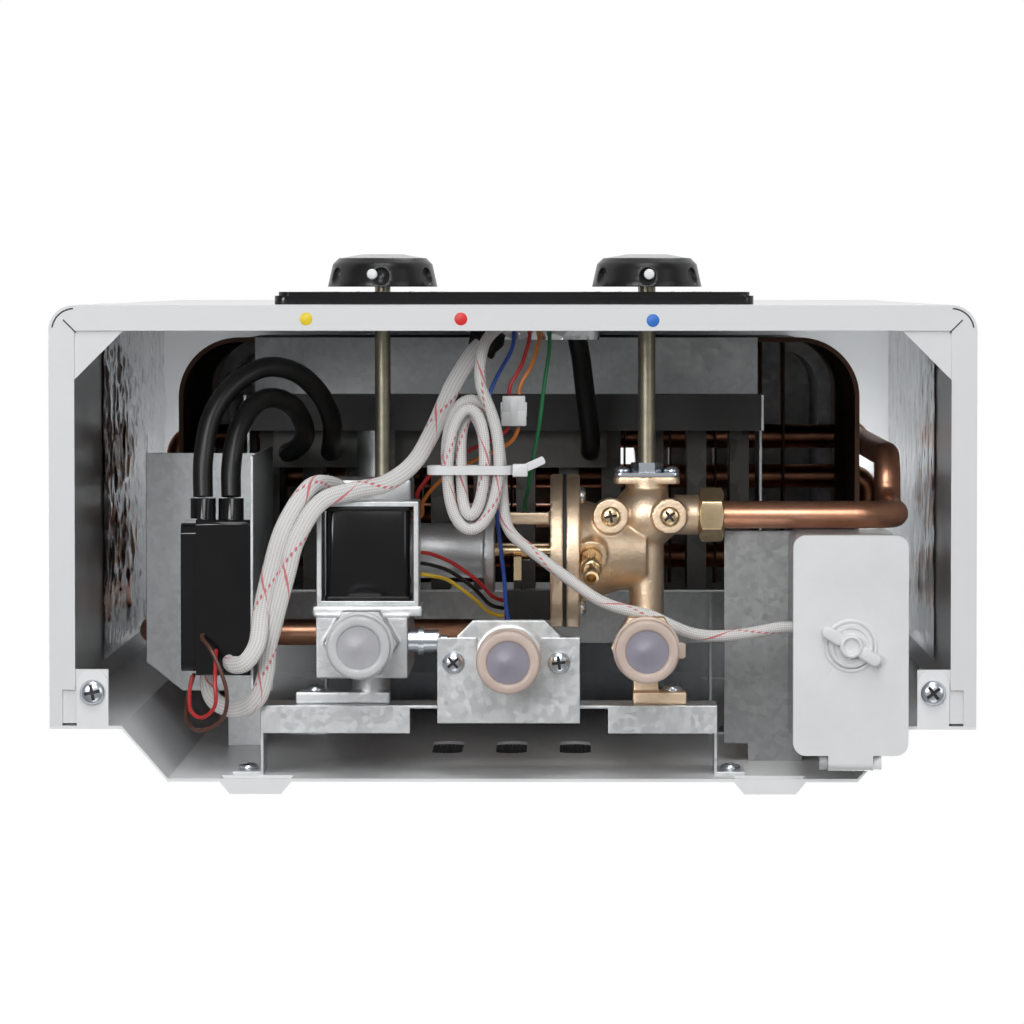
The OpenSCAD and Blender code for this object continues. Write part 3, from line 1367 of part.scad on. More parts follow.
// Round tube swept along a curve
module swept(p, d, sides) {
    n = sideways(p);
    rings = len(p);
    points = [for (i = [0:rings - 1], s = [0:sides - 1])
        let (a = 360 * s / sides, b = cross(heading(p, i), n[i]))
            p[i] + d / 2 * (cos(a) * n[i] + sin(a) * b)];
    walls = [for (i = [0:rings - 2], s = [0:sides - 1])
        let (a = i * sides + s, b = i * sides + (s + 1) % sides)
        each [[a, b, a + sides], [b, b + sides, a + sides]]];
    start = [for (s = [1:sides - 2]) [0, s + 1, s]];
    end = [for (s = [1:sides - 2]) (rings - 1) * sides * [1, 1, 1] + [0, s, s + 1]];
    polyhedron(points, [for (f = concat(walls, start, end)) [f[0], f[2], f[1]]]);
}

// Hank of spare sleeve: loops that spiral in, climb a layer on one run and spiral out again
hank_x = -17;
hank_y = -127;
hank_z = 22;
hank_half_w = 13.8;
hank_half_l = 29;
hank_step = 6;
hank_draw = 1;
hank_waist = 14;
hank_start = 0.1;
hank_end = 3.3;
hank_rings = 24;
hank_mid = (hank_start + hank_end) / 2;
function eased(t) = t <= 0 ? 0 : t >= 1 ? 1 : t * t * (3 - 2 * t);
function hank_point(t) = let (
        inset = hank_step * (hank_mid - hank_start - abs(t - hank_mid)),
        y = -(hank_half_l - inset) * cos(360 * t),
        drawn = hank_draw * exp(-pow(y / hank_waist, 2)))
    [hank_x + (hank_half_w - inset - drawn) * sin(360 * t), hank_y + y,
     hank_z + hank_step * eased((t - hank_mid) * 2 + 0.5)];
hank_curve = [for (i = [0:round((hank_end - hank_start) * hank_rings)])
    hank_point(hank_start + i / hank_rings)];
harness_in = [
    [-2, -183, 59.1], [-6, -181, 48], [-11, -176, 36], [-13, -168, 27], [-13, -160, 22], [-12, -155, 21.5],
];
harness_out = [
    [-5, -106, 28], [0, -99, 29], [8, -92.5, 30], [18, -85, 30], [26, -79, 30], [34, -73.5, 30],
    [44, -70, 30], [54, -68, 30], [63, -63.5, 30], [73, -60, 30], [86, -60, 29], [98, -62, 27],
    [105, -63.5, 26], [109.8, -63.5, 26],
];
harness_route = concat(smooth(follow(harness_in), 2), hank_curve, smooth(follow(harness_out), 2));

// Least gap between stretches of the sleeve that don't follow each other
function route_gap(p, d, skip) = min([for (i = [0:len(p) - 1], j = [i + skip:1:len(p) - 1])
    norm(p[i] - p[j])]) - d;
echo(least_gap_in_the_hank = route_gap(harness_route, sleeve_d, 6));

module harness_hank() color("#e9e6e2") swept(harness_route, sleeve_d, 6);

// In-line connector, its middle on the pair of control wires
plug_size = [10, 12, 8];
plug_at = [0, -148, 46];
tie_t = 1.2;
tie_w = 3.5;
tie_gap = 0.4;
tie_head = [6, 5, 5];

module harness_clips() color("#f3f3f1") {
    half = hank_half_w - hank_draw + sleeve_d / 2 + tie_gap;
    low = hank_z - sleeve_d / 2 - tie_gap;
    high = hank_z + hank_step + sleeve_d / 2 + tie_gap;
    translate([hank_x, hank_y + tie_w, (low + high) / 2]) rotate([90, 0, 0])
        linear_extrude(tie_w) difference() {
            square([2 * (half + tie_t), high - low + 2 * tie_t], center = true);
            square([2 * half, high - low], center = true);
        }
    translate([hank_x + half + tie_t, hank_y - tie_head[1] / 2 + tie_w / 2, low]) cube(tie_head);
    translate(plug_at - plug_size / 2) cube(plug_size);
}

// Woven sleeves to the igniter: from the control module, and from the solenoid
sleeve_routes = [
    [[-7, -179, 58.2], [-15, -172, 50], [-24, -158, 42], [-31, -142, 36], [-39, -128, 30], [-50, -120, 23],
     [-62, -117.5, 16], [-75, -113, 11], [-84, -99, 8], [-88, -85, 8], [-92, -70, 9], [-95.5, -56, 11],
     [-96.5, -46, 12.5], [-100, -36, 13], [-108, -31.5, 18], [-117, -34, 26], [-120, -40, 31],
     [-120, -44.4, 32]],
    [[-68, -114.7, 34], [-70, -119, 29], [-79, -119, 16], [-89, -104, 9], [-94.5, -86, 8], [-98, -70, 8],
     [-99.5, -58, 4], [-104, -51, 2], [-109, -50, 5], [-111, -51, 10], [-111, -51, 14.8]],
];

module sleeved_leads() color("#e9e6e2") for (r = sleeve_routes) swept(smooth(follow(r), 2), sleeve_d, 8);

// Ignition leads: two from the igniter to the electrodes, one from the control module to the flame sensor
wire_gap = 0.6;
boot_end_y = igniter_outlets[0][1] - boot_l - wire_gap;
ignition_routes = [
    [[-122, boot_end_y, 30], [-122, -130, 32], [-119, -146, 36], [-111, -158, 42], [-99, -165, 50],
     [-87, -163, 60], [-78, -154, 74], [-74, -143, 92], [-75, -134, 115], [-77, -129, 145],
     [electrode_x[1], -electrode_y, electrode_z - free]],
    [[-111, boot_end_y, 30], [-111, -127, 32], [-109, -139, 36], [-104, -149, 43], [-97, -153, 52],
     [-89, -150, 64], [-85, -142, 82], [-86, -135, 105], [-91, -130, 132], [-95, -128, 158],
     [electrode_x[0], -electrode_y, electrode_z - free]],
    [[24, -182, valve_z + module_h / 2 + wire_gap], [24, -181, 108], [25.5, -174, 117], [27, -165, 125],
     [29, -148, 140], [30.5, -135, 153], [30.5, -129, 164],
     [electrode_x[2], -electrode_y, electrode_z - free]],
];

module ignition_leads() color("#0f0f10") for (r = ignition_routes)
    swept(smooth(follow(r), 2), ignition_lead_d, 8);

// Signal wires: colour, then hand-chosen points
plug_front = plug_at[1] - plug_size[1] / 2 - wire_gap;
plug_back = plug_at[1] + plug_size[1] / 2 + wire_gap;
switch_wire_x = switch_left - wire_gap;
signal_routes = [
    ["#c02020", [[6, -180, 59.4], [6, -176, 54], [3, -166, 48], [-1, -159, 46], [-2, plug_front, 46]]],
    ["#d9702a", [[10, -180, 59.4], [10, -176, 54], [7, -166, 48], [3, -159, 46], [2, plug_front, 46]]],
    ["#c02020", [[-2, plug_back, 46], [-6, -138, 47], [-18, -132, 52], [-30, -125, 58], [-38, -116, 64],
                 [-39, -110, 68], [gas_right + wire_gap, -107.8, 69.6]]],
    ["#d9702a", [[2, plug_back, 46], [-2, -135, 47], [-16, -128, 52], [-28, -121, 58], [-36, -112, 64],
                 [-37, -106, 68], [gas_right + wire_gap, -103.5, 69.7]]],
    ["#2b55b0", [[0, -180, 59.3], [-1, -172, 52], [-9, -156, 42], [-11, -138, 40], [-8, -118, 42],
                 [-6, -100, 48], [-4, -82, 55], [-3, -68, 60], [-1.5, -61, 62],
                 [hot_x, -hot_y - pipe_d / 2, 62]]],
    ["#1c7a45", [[14, -180, 59.3], [14, -172, 53], [12, -158, 50], [10, -142, 54], [7, -126, 62],
                 [5, -114, 72], [4, -110, 78], [4, -water_y - bridge_off - bridge_arm_w / 2 - wire_gap, valve_z]]],
    ["#c02020", [[switch_wire_x, -71, 79], [-9, -73, 74], [-15, -80, 62], [-24, -87, 54], [-32, -91, 46],
                 [-36.3, -92, 42]]],
    ["#151515", [[switch_wire_x, -68, 76], [-10, -70, 70], [-16, -77, 58], [-25, -84, 49], [-32, -87, 41],
                 [-36.3, -88, 37]]],
    ["#d8b72c", [[switch_wire_x, -65, 73], [-10, -67, 66], [-17, -74, 53], [-26, -81, 44], [-32, -83, 36],
                 [-36.3, -84, 32]]],
    ["#b02a26", [[-126, -44.5, 24], [-127, -38, 22], [-126, -31, 16], [-121, -29, 10], [-116, -34, 6],
                 [-116, -43, 6], [-116, -52, 10], [-116, -55, 14.4]]],
    ["#5a3424", [[-126, -44.5, 34], [-128, -36, 30], [-128, -27, 20], [-122, -24, 8], [-113, -29, 2],
                 [-111, -40, -2], [-116, -54, 0], [-121, -60, 8], [-121, -61, 14.7]]],
];

module signal_wires() for (r = signal_routes) color(r[0]) swept(smooth(follow(r[1]), 2), wire_d, 8);

// One node of the model, lowered to its place
module shown(name) placed() children();

shown("front_cover") front_cover();
shown("back_panel") back_panel();
shown("foil_liners") foil_liners();
shown("casing_screws") casing_screws();
shown("control_fascia") control_fascia();
shown("display_window") display_window();
shown("control_module") control_module();
shown("gas_knob") gas_knob();
shown("gas_knob_cap") gas_knob_cap();
shown("gas_spindle") gas_spindle();
shown("water_knob") water_knob();
shown("water_knob_cap") water_knob_cap();
shown("water_spindle") water_spindle();
shown("gas_inlet_body") gas_inlet_body();
shown("gas_inlet_cap") gas_inlet_cap();
shown("gas_test_nipple") gas_test_nipple();
shown("solenoid_frame") solenoid_frame();
shown("solenoid_coil") solenoid_coil();
shown("solenoid_plunger") solenoid_plunger();
shown("gas_valve_body") gas_valve_body();
shown("gas_riser") gas_riser();
shown("gas_manifold") gas_manifold();
shown("water_valve_body") water_valve_body();
shown("diaphragm_cover") diaphragm_cover();
shown("diaphragm") diaphragm();
shown("push_rod") push_rod();
shown("gland_plate") gland_plate();
shown("drain_plug") drain_plug();
shown("valve_screws") valve_screws();
shown("blanking_plugs") blanking_plugs();
shown("union_nut") union_nut();
shown("inlet_pipe") inlet_pipe();
shown("cold_inlet") cold_inlet();
shown("cold_inlet_cap") cold_inlet_cap();
shown("microswitch") microswitch();
shown("microswitch_lever") microswitch_lever();
shown("hot_pipe") hot_pipe();
shown("hot_outlet") hot_outlet();
shown("hot_outlet_cap") hot_outlet_cap();
shown("hot_bracket") hot_bracket();
shown("exchanger_shell") exchanger_shell();
shown("exchanger_fins") exchanger_fins();
shown("exchanger_tubes") exchanger_tubes();
shown("flue_hood") flue_hood();
shown("flue_collar") flue_collar();
shown("burner_frame") burner_frame();
shown("burner_blades") burner_blades();
shown("ignition_electrodes") ignition_electrodes();
shown("igniter") igniter();
shown("igniter_bracket") igniter_bracket();
shown("ignition_leads") ignition_leads();
shown("battery_box") battery_box();
shown("battery_lid") battery_lid();
shown("battery_lock") battery_lock();
shown("battery_bracket") battery_bracket();
shown("valve_rail") valve_rail();
shown("harness_hank") harness_hank();
shown("harness_clips") harness_clips();
shown("sleeved_leads") sleeved_leads();
shown("signal_wires") signal_wires();
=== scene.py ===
"""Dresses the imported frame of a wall-hung tankless gas water heater.

The frame gives every rigid solid in its place. This script adds the finishes, replaces the plain
fasteners, nuts, castings, caps, foil and wiring with detailed pieces, and sets up the stage.
Sizes are in millimetres, with heights above the casing's bottom rim, unless a name ends in _m.
"""

import logging
import math
import random
from dataclasses import dataclass, field
from enum import Enum

import bmesh
import bpy
from mathutils import Matrix, Vector, noise


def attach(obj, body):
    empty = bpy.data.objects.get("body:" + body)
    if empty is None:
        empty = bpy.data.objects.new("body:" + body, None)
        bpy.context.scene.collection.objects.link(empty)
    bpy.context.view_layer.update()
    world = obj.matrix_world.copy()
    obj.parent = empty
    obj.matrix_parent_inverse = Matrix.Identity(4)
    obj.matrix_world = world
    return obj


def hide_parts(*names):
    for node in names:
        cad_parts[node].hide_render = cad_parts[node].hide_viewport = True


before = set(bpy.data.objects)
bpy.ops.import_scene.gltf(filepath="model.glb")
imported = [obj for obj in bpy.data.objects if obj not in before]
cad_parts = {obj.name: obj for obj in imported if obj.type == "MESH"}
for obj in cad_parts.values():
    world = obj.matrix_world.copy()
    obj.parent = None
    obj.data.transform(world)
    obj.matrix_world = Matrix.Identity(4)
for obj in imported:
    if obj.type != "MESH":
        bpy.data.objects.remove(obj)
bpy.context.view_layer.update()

LOG = logging.getLogger("water_heater")
MM = 0.001
HANG_Z = 560.0
SMOOTH_ANGLE = math.radians(38)

Point = tuple[float, float, float]
Colour = tuple[float, float, float]
UP = Vector((0, 0, 1))
DOWN = Vector((0, 0, -1))
TO_ROOM = Vector((0, -1, 0))
TO_WALL = Vector((0, 1, 0))
TO_RIGHT = Vector((1, 0, 0))
TO_LEFT = Vector((-1, 0, 0))


class Body(Enum):
    """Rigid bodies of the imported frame."""

    HEATER = "heater"
    GAS_KNOB = "gas_knob"
    WATER_KNOB = "water_knob"
    BATTERY_LID = "battery_lid"
    BATTERY_LOCK = "battery_lock"
    GAS_CAP = "gas_cap"
    HOT_CAP = "hot_cap"
    COLD_CAP = "cold_cap"
    DRAIN_PLUG = "drain_plug"


class Drive(Enum):
    """Ways to drive a screw head."""

    CROSS = "cross"
    SLOT = "slot"


def rim(x: float, y: float, z: float) -> Vector:
    """Turns millimetres above the bottom rim into metres in the frame.

    Args:
        x: Distance to the right of the middle.
        y: Distance behind the wall plane, negative in front of it.
        z: Height above the casing's bottom rim.

    Returns:
        The point in the frame.
    """
    return Vector((x * MM, y * MM, (z - HANG_Z) * MM))


def seated(point: Vector, axis: Vector, turn: float = 0.0) -> Matrix:
    """Makes the placement of a piece that is modelled along its own Z.

    Args:
        point: Where the piece's origin goes, in metres.
        axis: Direction of the piece's Z.
        turn: Turn about that axis, in radians.

    Returns:
        The placement, with millimetres scaled to metres.
    """
    turned = axis.to_track_quat("Z", "Y").to_matrix().to_4x4() @ Matrix.Rotation(turn, 4, "Z")
    return Matrix.Translation(point) @ turned @ Matrix.Scale(MM, 4)


def smooth_route(points: list[Point], steps: int) -> list[Vector]:
    """Draws a smooth curve through given points.

    Args:
        points: The points, in millimetres above the rim.
        steps: Number of steps in each span.

    Returns:
        Points on the curve, in metres in the frame.
    """
    given = [Vector(p) for p in points]
    last = len(given) - 1
    found: list[Vector] = []
    for i in range(last):
        a, b = given[max(0, i - 1)], given[i]
        c, d = given[i + 1], given[min(last, i + 2)]
        for step in range(steps):
            t = step / steps
            found.append(
                0.5 * (2 * b + (c - a) * t + (2 * a - 5 * b + 4 * c - d) * t**2 + (3 * b - a - 3 * c + d) * t**3)
            )
    found.append(given[last])
    return [rim(*p) for p in found]


class Shaper:
    """A mesh that grows shape by shape through bmesh operators, in metres in the frame."""

    def __init__(self) -> None:
        """Starts an empty mesh."""
        self.bm = bmesh.new()

    def _settle(self, before: set[bmesh.types.BMVert], place: Matrix, slot: int) -> list[bmesh.types.BMVert]:
        """Places the newest shape and marks its faces.

        Args:
            before: Vertices that were there before the shape.
            place: Placement of the shape.
            slot: Index of the material that its faces take.

        Returns:
            The vertices of the shape.
        """
        new = [v for v in self.bm.verts if v not in before]
        bmesh.ops.transform(self.bm, matrix=place, verts=new)
        faces = {f for v in new for f in v.link_faces}
        for face in faces:
            face.material_index = slot
        bmesh.ops.recalc_face_normals(self.bm, faces=list(faces))
        return new

    def _bevel(self, edges: list[bmesh.types.BMEdge], width: float, segments: int) -> None:
        """Rounds some edges by a width, with a number of segments."""
        bmesh.ops.bevel(
            self.bm,
            geom=edges,
            offset=width,
            affect="EDGES",
            offset_type="OFFSET",
            segments=segments,
            profile=0.5,
            clamp_overlap=True,
            material=-1,
        )

    def block(self, size: Point, place: Matrix, bevel: float = 0.0, segments: int = 2, slot: int = 0) -> None:
        """Adds a box with rounded edges.

        Args:
            size: Length along each of its own axes, centred.
            place: Placement of the box.
            bevel: Width of the rounding.
            segments: Segments of the rounding.
            slot: Index of its material.
        """
        before = set(self.bm.verts)
        made = bmesh.ops.create_cube(self.bm, size=1.0)["verts"]
        bmesh.ops.scale(self.bm, vec=Vector(size), verts=made)
        if bevel > 0:
            self._bevel(list({e for v in made for e in v.link_edges}), bevel, segments)
        self._settle(before, place, slot)

    def tablet(self, size: Point, place: Matrix, corner: float, edge: float, slot: int = 0) -> None:
        """Adds a flat block with round upright corners and softened rims.

        Args:
            size: Length along each of its own axes, centred.
            place: Placement of the block.
            corner: Radius of the upright corners.
            edge: Rounding of the rims.
            slot: Index of its material.
        """
        before = set(self.bm.verts)
        made = bmesh.ops.create_cube(self.bm, size=1.0)["verts"]
        bmesh.ops.scale(self.bm, vec=Vector(size), verts=made)
        edges = list({e for v in made for e in v.link_edges})
        upright = [e for e in edges if abs(e.verts[0].co.z - e.verts[1].co.z) > size[2] / 2]
        self._bevel(upright, corner, 8)
        new = [v for v in self.bm.verts if v not in before]
        caps = [f for f in {f for v in new for f in v.link_faces} if abs(f.normal.z) > 0.9]
        self._bevel(list({e for f in caps for e in f.edges}), edge, 3)
        self._settle(before, place, slot)

    def lathe(self, profile: list[tuple[float, float]], place: Matrix, steps: int = 40, slot: int = 0) -> None:
        """Spins an outline of radius and height about its own Z.

        Args:
            profile: Radius and height of each corner, in order.
            place: Placement of the turned shape.
            steps: Number of facets round the axis.
            slot: Index of its material.
        """
        before = set(self.bm.verts)
        line = [self.bm.verts.new((r, 0.0, h)) for r, h in profile]
        edges = [self.bm.edges.new(pair) for pair in zip(line, line[1:])]
        bmesh.ops.spin(
            self.bm,
            geom=line + edges,
            cent=(0, 0, 0),
            axis=(0, 0, 1),
            angle=2 * math.pi,
            steps=steps,
            use_merge=True,
        )
        new = [v for v in self.bm.verts if v not in before]
        bmesh.ops.remove_doubles(self.bm, verts=new, dist=1e-4)
        self._settle(before, place, slot)

    def hexagon(self, flats: float, height: float, place: Matrix, bevel: float = 0.5, slot: int = 0) -> None:
        """Adds a six-sided block with rounded edges, standing on its own Z.

        Args:
            flats: Size across the flats.
            height: Height of the block.
            place: Placement of the block.
            bevel: Width of the rounding.
            slot: Index of its material.
        """
        before = set(self.bm.verts)
        radius = flats / 2 / math.cos(math.pi / 6)
        made = bmesh.ops.create_cone(
            self.bm, cap_ends=True, cap_tris=False, segments=6, radius1=radius, radius2=radius, depth=height
        )["verts"]
        bmesh.ops.translate(self.bm, vec=(0, 0, height / 2), verts=made)
        self._bevel(list({e for v in made for e in v.link_edges}), bevel, 2)
        self._settle(before, place, slot)

    def plate(self, outline: list[tuple[float, float]], depth: float, place: Matrix, bevel: float = 0.0, slot: int = 0) -> None:
        """Adds a flat plate by extruding an outline along its own Z.

        Args:
            outline: Corners of the plate, in order.
            depth: Thickness of the plate.
            place: Placement of the plate.
            bevel: Rounding of its edges.
            slot: Index of its material.
        """
        before = set(self.bm.verts)
        base = self.bm.faces.new([self.bm.verts.new((x, y, 0.0)) for x, y in outline])
        raised = bmesh.ops.extrude_face_region(self.bm, geom=[base])["geom"]
        bmesh.ops.translate(
            self.bm, vec=(0, 0, depth), verts=[g for g in raised if isinstance(g, bmesh.types.BMVert)]
        )
        if bevel > 0:
            new = [v for v in self.bm.verts if v not in before]
            self._bevel(list({e for v in new for e in v.link_edges}), bevel, 2)
        self._settle(before, place, slot)

    def absorb(self, other: "Shaper", place: Matrix) -> None:
        """Adds another mesh in its place and uses it up.

        Args:
            other: The mesh to add.
            place: Placement of that mesh.
        """
        bmesh.ops.transform(other.bm, matrix=place, verts=other.bm.verts[:])
        mesh = bpy.data.meshes.new("absorbed")
        other.bm.to_mesh(mesh)
        other.bm.free()
        self.bm.from_mesh(mesh)
        bpy.data.meshes.remove(mesh)

    def piece(
        self,
        name: str,
        finishes: "list[Finish]",
        body: Body,
        replaces: tuple[str, ...] = (),
        slot: str | None = None,
    ) -> bpy.types.Object:
        """Turns the mesh into a finished piece that rides on a body.

        Args:
            name: Name of the piece.
            finishes: Finish of each material index.
            body: Body that it moves with.
            replaces: Nodes of the frame that it stands for.
            slot: Name of a material slot of the record; not used.

        Returns:
            The object.
        """
        mesh = bpy.data.meshes.new(name)
        self.bm.to_mesh(mesh)
        self.bm.free()
        return settle_piece(mesh, name, finishes, body, replaces)


def settle_piece(
    mesh: bpy.types.Mesh,
    name: str,
    finishes: "list[Finish]",
    body: Body,
    replaces: tuple[str, ...] = (),
) -> bpy.types.Object:
    """Links a finished mesh, dresses it and lets it ride on its body.

    Args:
        mesh: The mesh, in metres in the frame.
        name: Name of the piece.
        finishes: Finish of each material index.
        body: Body that it moves with.
        replaces: Nodes of the frame that it stands for.

    Returns:
        The object.
    """
    mesh.shade_smooth()
    mesh.set_sharp_from_angle(angle=SMOOTH_ANGLE)
    if mesh.materials:
        mesh.materials.clear()
    for finish in finishes:
        mesh.materials.append(finish.material())
    obj = bpy.data.objects.new(name, mesh)
    bpy.context.scene.collection.objects.link(obj)
    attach(obj, body.value)
    if replaces:
        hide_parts(*replaces)
    LOG.info("piece %s: %d faces", name, len(mesh.polygons))
    return obj


def cast_copy(node: str, voxel_m: float, rounds: int) -> bpy.types.Mesh:
    """Copies a solid of the frame and gives it the soft edges of a casting.

    Args:
        node: Name of the solid.
        voxel_m: Voxel size of the remesh, in metres.
        rounds: Rounds of smoothing.

    Returns:
        The softened mesh.
    """
    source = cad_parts[node]
    bm = bmesh.new()
    bm.from_mesh(source.data)
    bmesh.ops.remove_doubles(bm, verts=bm.verts[:], dist=1e-6)
    merged = bpy.data.meshes.new(node + "_merged")
    bm.to_mesh(merged)
    bm.free()
    helper = bpy.data.objects.new(node + "_merged", merged)
    bpy.context.scene.collection.objects.link(helper)
    remesh = helper.modifiers.new("cast", "REMESH")
    remesh.mode = "VOXEL"
    remesh.voxel_size = voxel_m
    soften = helper.modifiers.new("soften", "SMOOTH")
    soften.factor = 0.5
    soften.iterations = rounds
    bpy.context.view_layer.update()
    depsgraph = bpy.context.evaluated_depsgraph_get()
    mesh = bpy.data.meshes.new_from_object(helper.evaluated_get(depsgraph))
    bpy.data.objects.remove(helper)
    return mesh


class Surface(Enum):
    """Patterns that a finish lays over its colour."""

    PLAIN = "plain"
    CAST = "cast"
    BRUSHED = "brushed"
    CRINKLE = "crinkle"
    SPANGLE = "spangle"
    WEAVE = "weave"


class ShaderGroups:
    """Shared shader effects, each built once as a node group."""

    @staticmethod
    def _start(name: str, inputs: list[tuple[str, str, object]], outputs: list[tuple[str, str]]) -> bpy.types.NodeTree:
        """Starts a node group with its sockets.

        Args:
            name: Name of the group.
            inputs: Name, socket type and default of each input.
            outputs: Name and socket type of each output.

        Returns:
            The group, with its input and output nodes named In and Out.
        """
        tree = bpy.data.node_groups.new(name, "ShaderNodeTree")
        for label, kind, default in inputs:
            socket = tree.interface.new_socket(name=label, in_out="INPUT", socket_type=kind)
            if default is not None:
                socket.default_value = default
        for label, kind in outputs:
            tree.interface.new_socket(name=label, in_out="OUTPUT", socket_type=kind)
        tree.nodes.new("NodeGroupInput").name = "In"
        tree.nodes.new("NodeGroupOutput").name = "Out"
        return tree

    @classmethod
    def mottle(cls) -> bpy.types.NodeTree:
        """Gives the group that blends two colours in soft patches and spreads the roughness.

        Returns:
            The group, with the outputs Color and Roughness.
        """
        found = bpy.data.node_groups.get("mottle")
        if found:
            return found
        tree = cls._start(
            "mottle",
            [
                ("Vector", "NodeSocketVector", None),
                ("Scale", "NodeSocketFloat", 60.0),
                ("Base", "NodeSocketColor", None),
                ("Patch", "NodeSocketColor", None),
                ("Smooth", "NodeSocketFloat", 0.3),
                ("Rough", "NodeSocketFloat", 0.5),
            ],
            [("Color", "NodeSocketColor"), ("Roughness", "NodeSocketFloat")],
        )
        nodes, links = tree.nodes, tree.links
        inside, outside = nodes["In"], nodes["Out"]
        cloud = nodes.new("ShaderNodeTexNoise")
        cloud.inputs["Detail"].default_value = 6.0
        cloud.inputs["Roughness"].default_value = 0.62
        spread = nodes.new("ShaderNodeMapRange")
        spread.inputs["From Min"].default_value = 0.34
        spread.inputs["From Max"].default_value = 0.68
        blend = nodes.new("ShaderNodeMix")
        blend.data_type = "RGBA"
        ease = nodes.new("ShaderNodeMapRange")
        links.new(inside.outputs["Vector"], cloud.inputs["Vector"])
        links.new(inside.outputs["Scale"], cloud.inputs["Scale"])
        links.new(cloud.outputs["Fac"], spread.inputs["Value"])
        links.new(spread.outputs["Result"], blend.inputs[0])
        links.new(inside.outputs["Base"], blend.inputs[6])
        links.new(inside.outputs["Patch"], blend.inputs[7])
        links.new(cloud.outputs["Fac"], ease.inputs["Value"])
        links.new(inside.outputs["Smooth"], ease.inputs["To Min"])
        links.new(inside.outputs["Rough"], ease.inputs["To Max"])
        links.new(blend.outputs[2], outside.inputs["Color"])
        links.new(ease.outputs["Result"], outside.inputs["Roughness"])
        return tree

    @classmethod
    def relief(cls) -> bpy.types.NodeTree:
        """Gives the group of fine sand-like or stretched relief.

        Returns:
            The group, with the output Height.
        """
        found = bpy.data.node_groups.get("relief")
        if found:
            return found
        tree = cls._start(
            "relief",
            [
                ("Vector", "NodeSocketVector", None),
                ("Scale", "NodeSocketFloat", 900.0),
                ("Coarse", "NodeSocketFloat", 120.0),
            ],
            [("Height", "NodeSocketFloat")],
        )
        nodes, links = tree.nodes, tree.links
        inside, outside = nodes["In"], nodes["Out"]
        fine = nodes.new("ShaderNodeTexNoise")
        fine.inputs["Detail"].default_value = 3.0
        wide = nodes.new("ShaderNodeTexNoise")
        wide.inputs["Detail"].default_value = 2.0
        total = nodes.new("ShaderNodeMath")
        total.operation = "ADD"
        for tex, socket in ((fine, "Scale"), (wide, "Coarse")):
            links.new(inside.outputs["Vector"], tex.inputs["Vector"])
            links.new(inside.outputs[socket], tex.inputs["Scale"])
        links.new(fine.outputs["Fac"], total.inputs[0])
        links.new(wide.outputs["Fac"], total.inputs[1])
        links.new(total.outputs["Value"], outside.inputs["Height"])
        return tree

    @classmethod
    def cells(cls) -> bpy.types.NodeTree:
        """Gives the group of angular patches, for zinc flowers and foil creases.

        Returns:
            The group, with the outputs Color, Roughness and Height.
        """
        found = bpy.data.node_groups.get("cells")
        if found:
            return found
        tree = cls._start(
            "cells",
            [
                ("Vector", "NodeSocketVector", None),
                ("Scale", "NodeSocketFloat", 90.0),
                ("Base", "NodeSocketColor", None),
                ("Patch", "NodeSocketColor", None),
                ("Smooth", "NodeSocketFloat", 0.25),
                ("Rough", "NodeSocketFloat", 0.5),
            ],
            [("Color", "NodeSocketColor"), ("Roughness", "NodeSocketFloat"), ("Height", "NodeSocketFloat")],
        )
        nodes, links = tree.nodes, tree.links
        inside, outside = nodes["In"], nodes["Out"]
        warp = nodes.new("ShaderNodeTexNoise")
        warp.inputs["Scale"].default_value = 40.0
        bend = nodes.new("ShaderNodeMix")
        bend.data_type = "VECTOR"
        bend.inputs[0].default_value = 0.004
        flake = nodes.new("ShaderNodeTexVoronoi")
        flake.feature = "F1"
        tint = nodes.new("ShaderNodeSeparateColor")
        blend = nodes.new("ShaderNodeMix")
        blend.data_type = "RGBA"
        ease = nodes.new("ShaderNodeMapRange")
        links.new(inside.outputs["Vector"], warp.inputs["Vector"])
        links.new(inside.outputs["Vector"], bend.inputs[4])
        links.new(warp.outputs["Color"], bend.inputs[5])
        links.new(bend.outputs[1], flake.inputs["Vector"])
        links.new(inside.outputs["Scale"], flake.inputs["Scale"])
        links.new(flake.outputs["Color"], tint.inputs["Color"])
        links.new(tint.outputs["Red"], blend.inputs[0])
        links.new(inside.outputs["Base"], blend.inputs[6])
        links.new(inside.outputs["Patch"], blend.inputs[7])
        links.new(tint.outputs["Green"], ease.inputs["Value"])
        links.new(inside.outputs["Smooth"], ease.inputs["To Min"])
        links.new(inside.outputs["Rough"], ease.inputs["To Max"])
        links.new(blend.outputs[2], outside.inputs["Color"])
        links.new(ease.outputs["Result"], outside.inputs["Roughness"])
        links.new(flake.outputs["Distance"], outside.inputs["Height"])
        return tree

    @classmethod
    def weave(cls) -> bpy.types.NodeTree:
        """Gives the group of a braided sleeve with tracer flecks, on coordinates round and along.

        Returns:
            The group, with the outputs Color and Height.
        """
        found = bpy.data.node_groups.get("weave")
        if found:
            return found
        tree = cls._start(
            "weave",
            [
                ("Vector", "NodeSocketVector", None),
                ("Base", "NodeSocketColor", None),
                ("Fleck", "NodeSocketColor", None),
            ],
            [("Color", "NodeSocketColor"), ("Height", "NodeSocketFloat")],
        )
        nodes, links = tree.nodes, tree.links
        inside, outside = nodes["In"], nodes["Out"]
        split = nodes.new("ShaderNodeSeparateXYZ")
        links.new(inside.outputs["Vector"], split.inputs["Vector"])

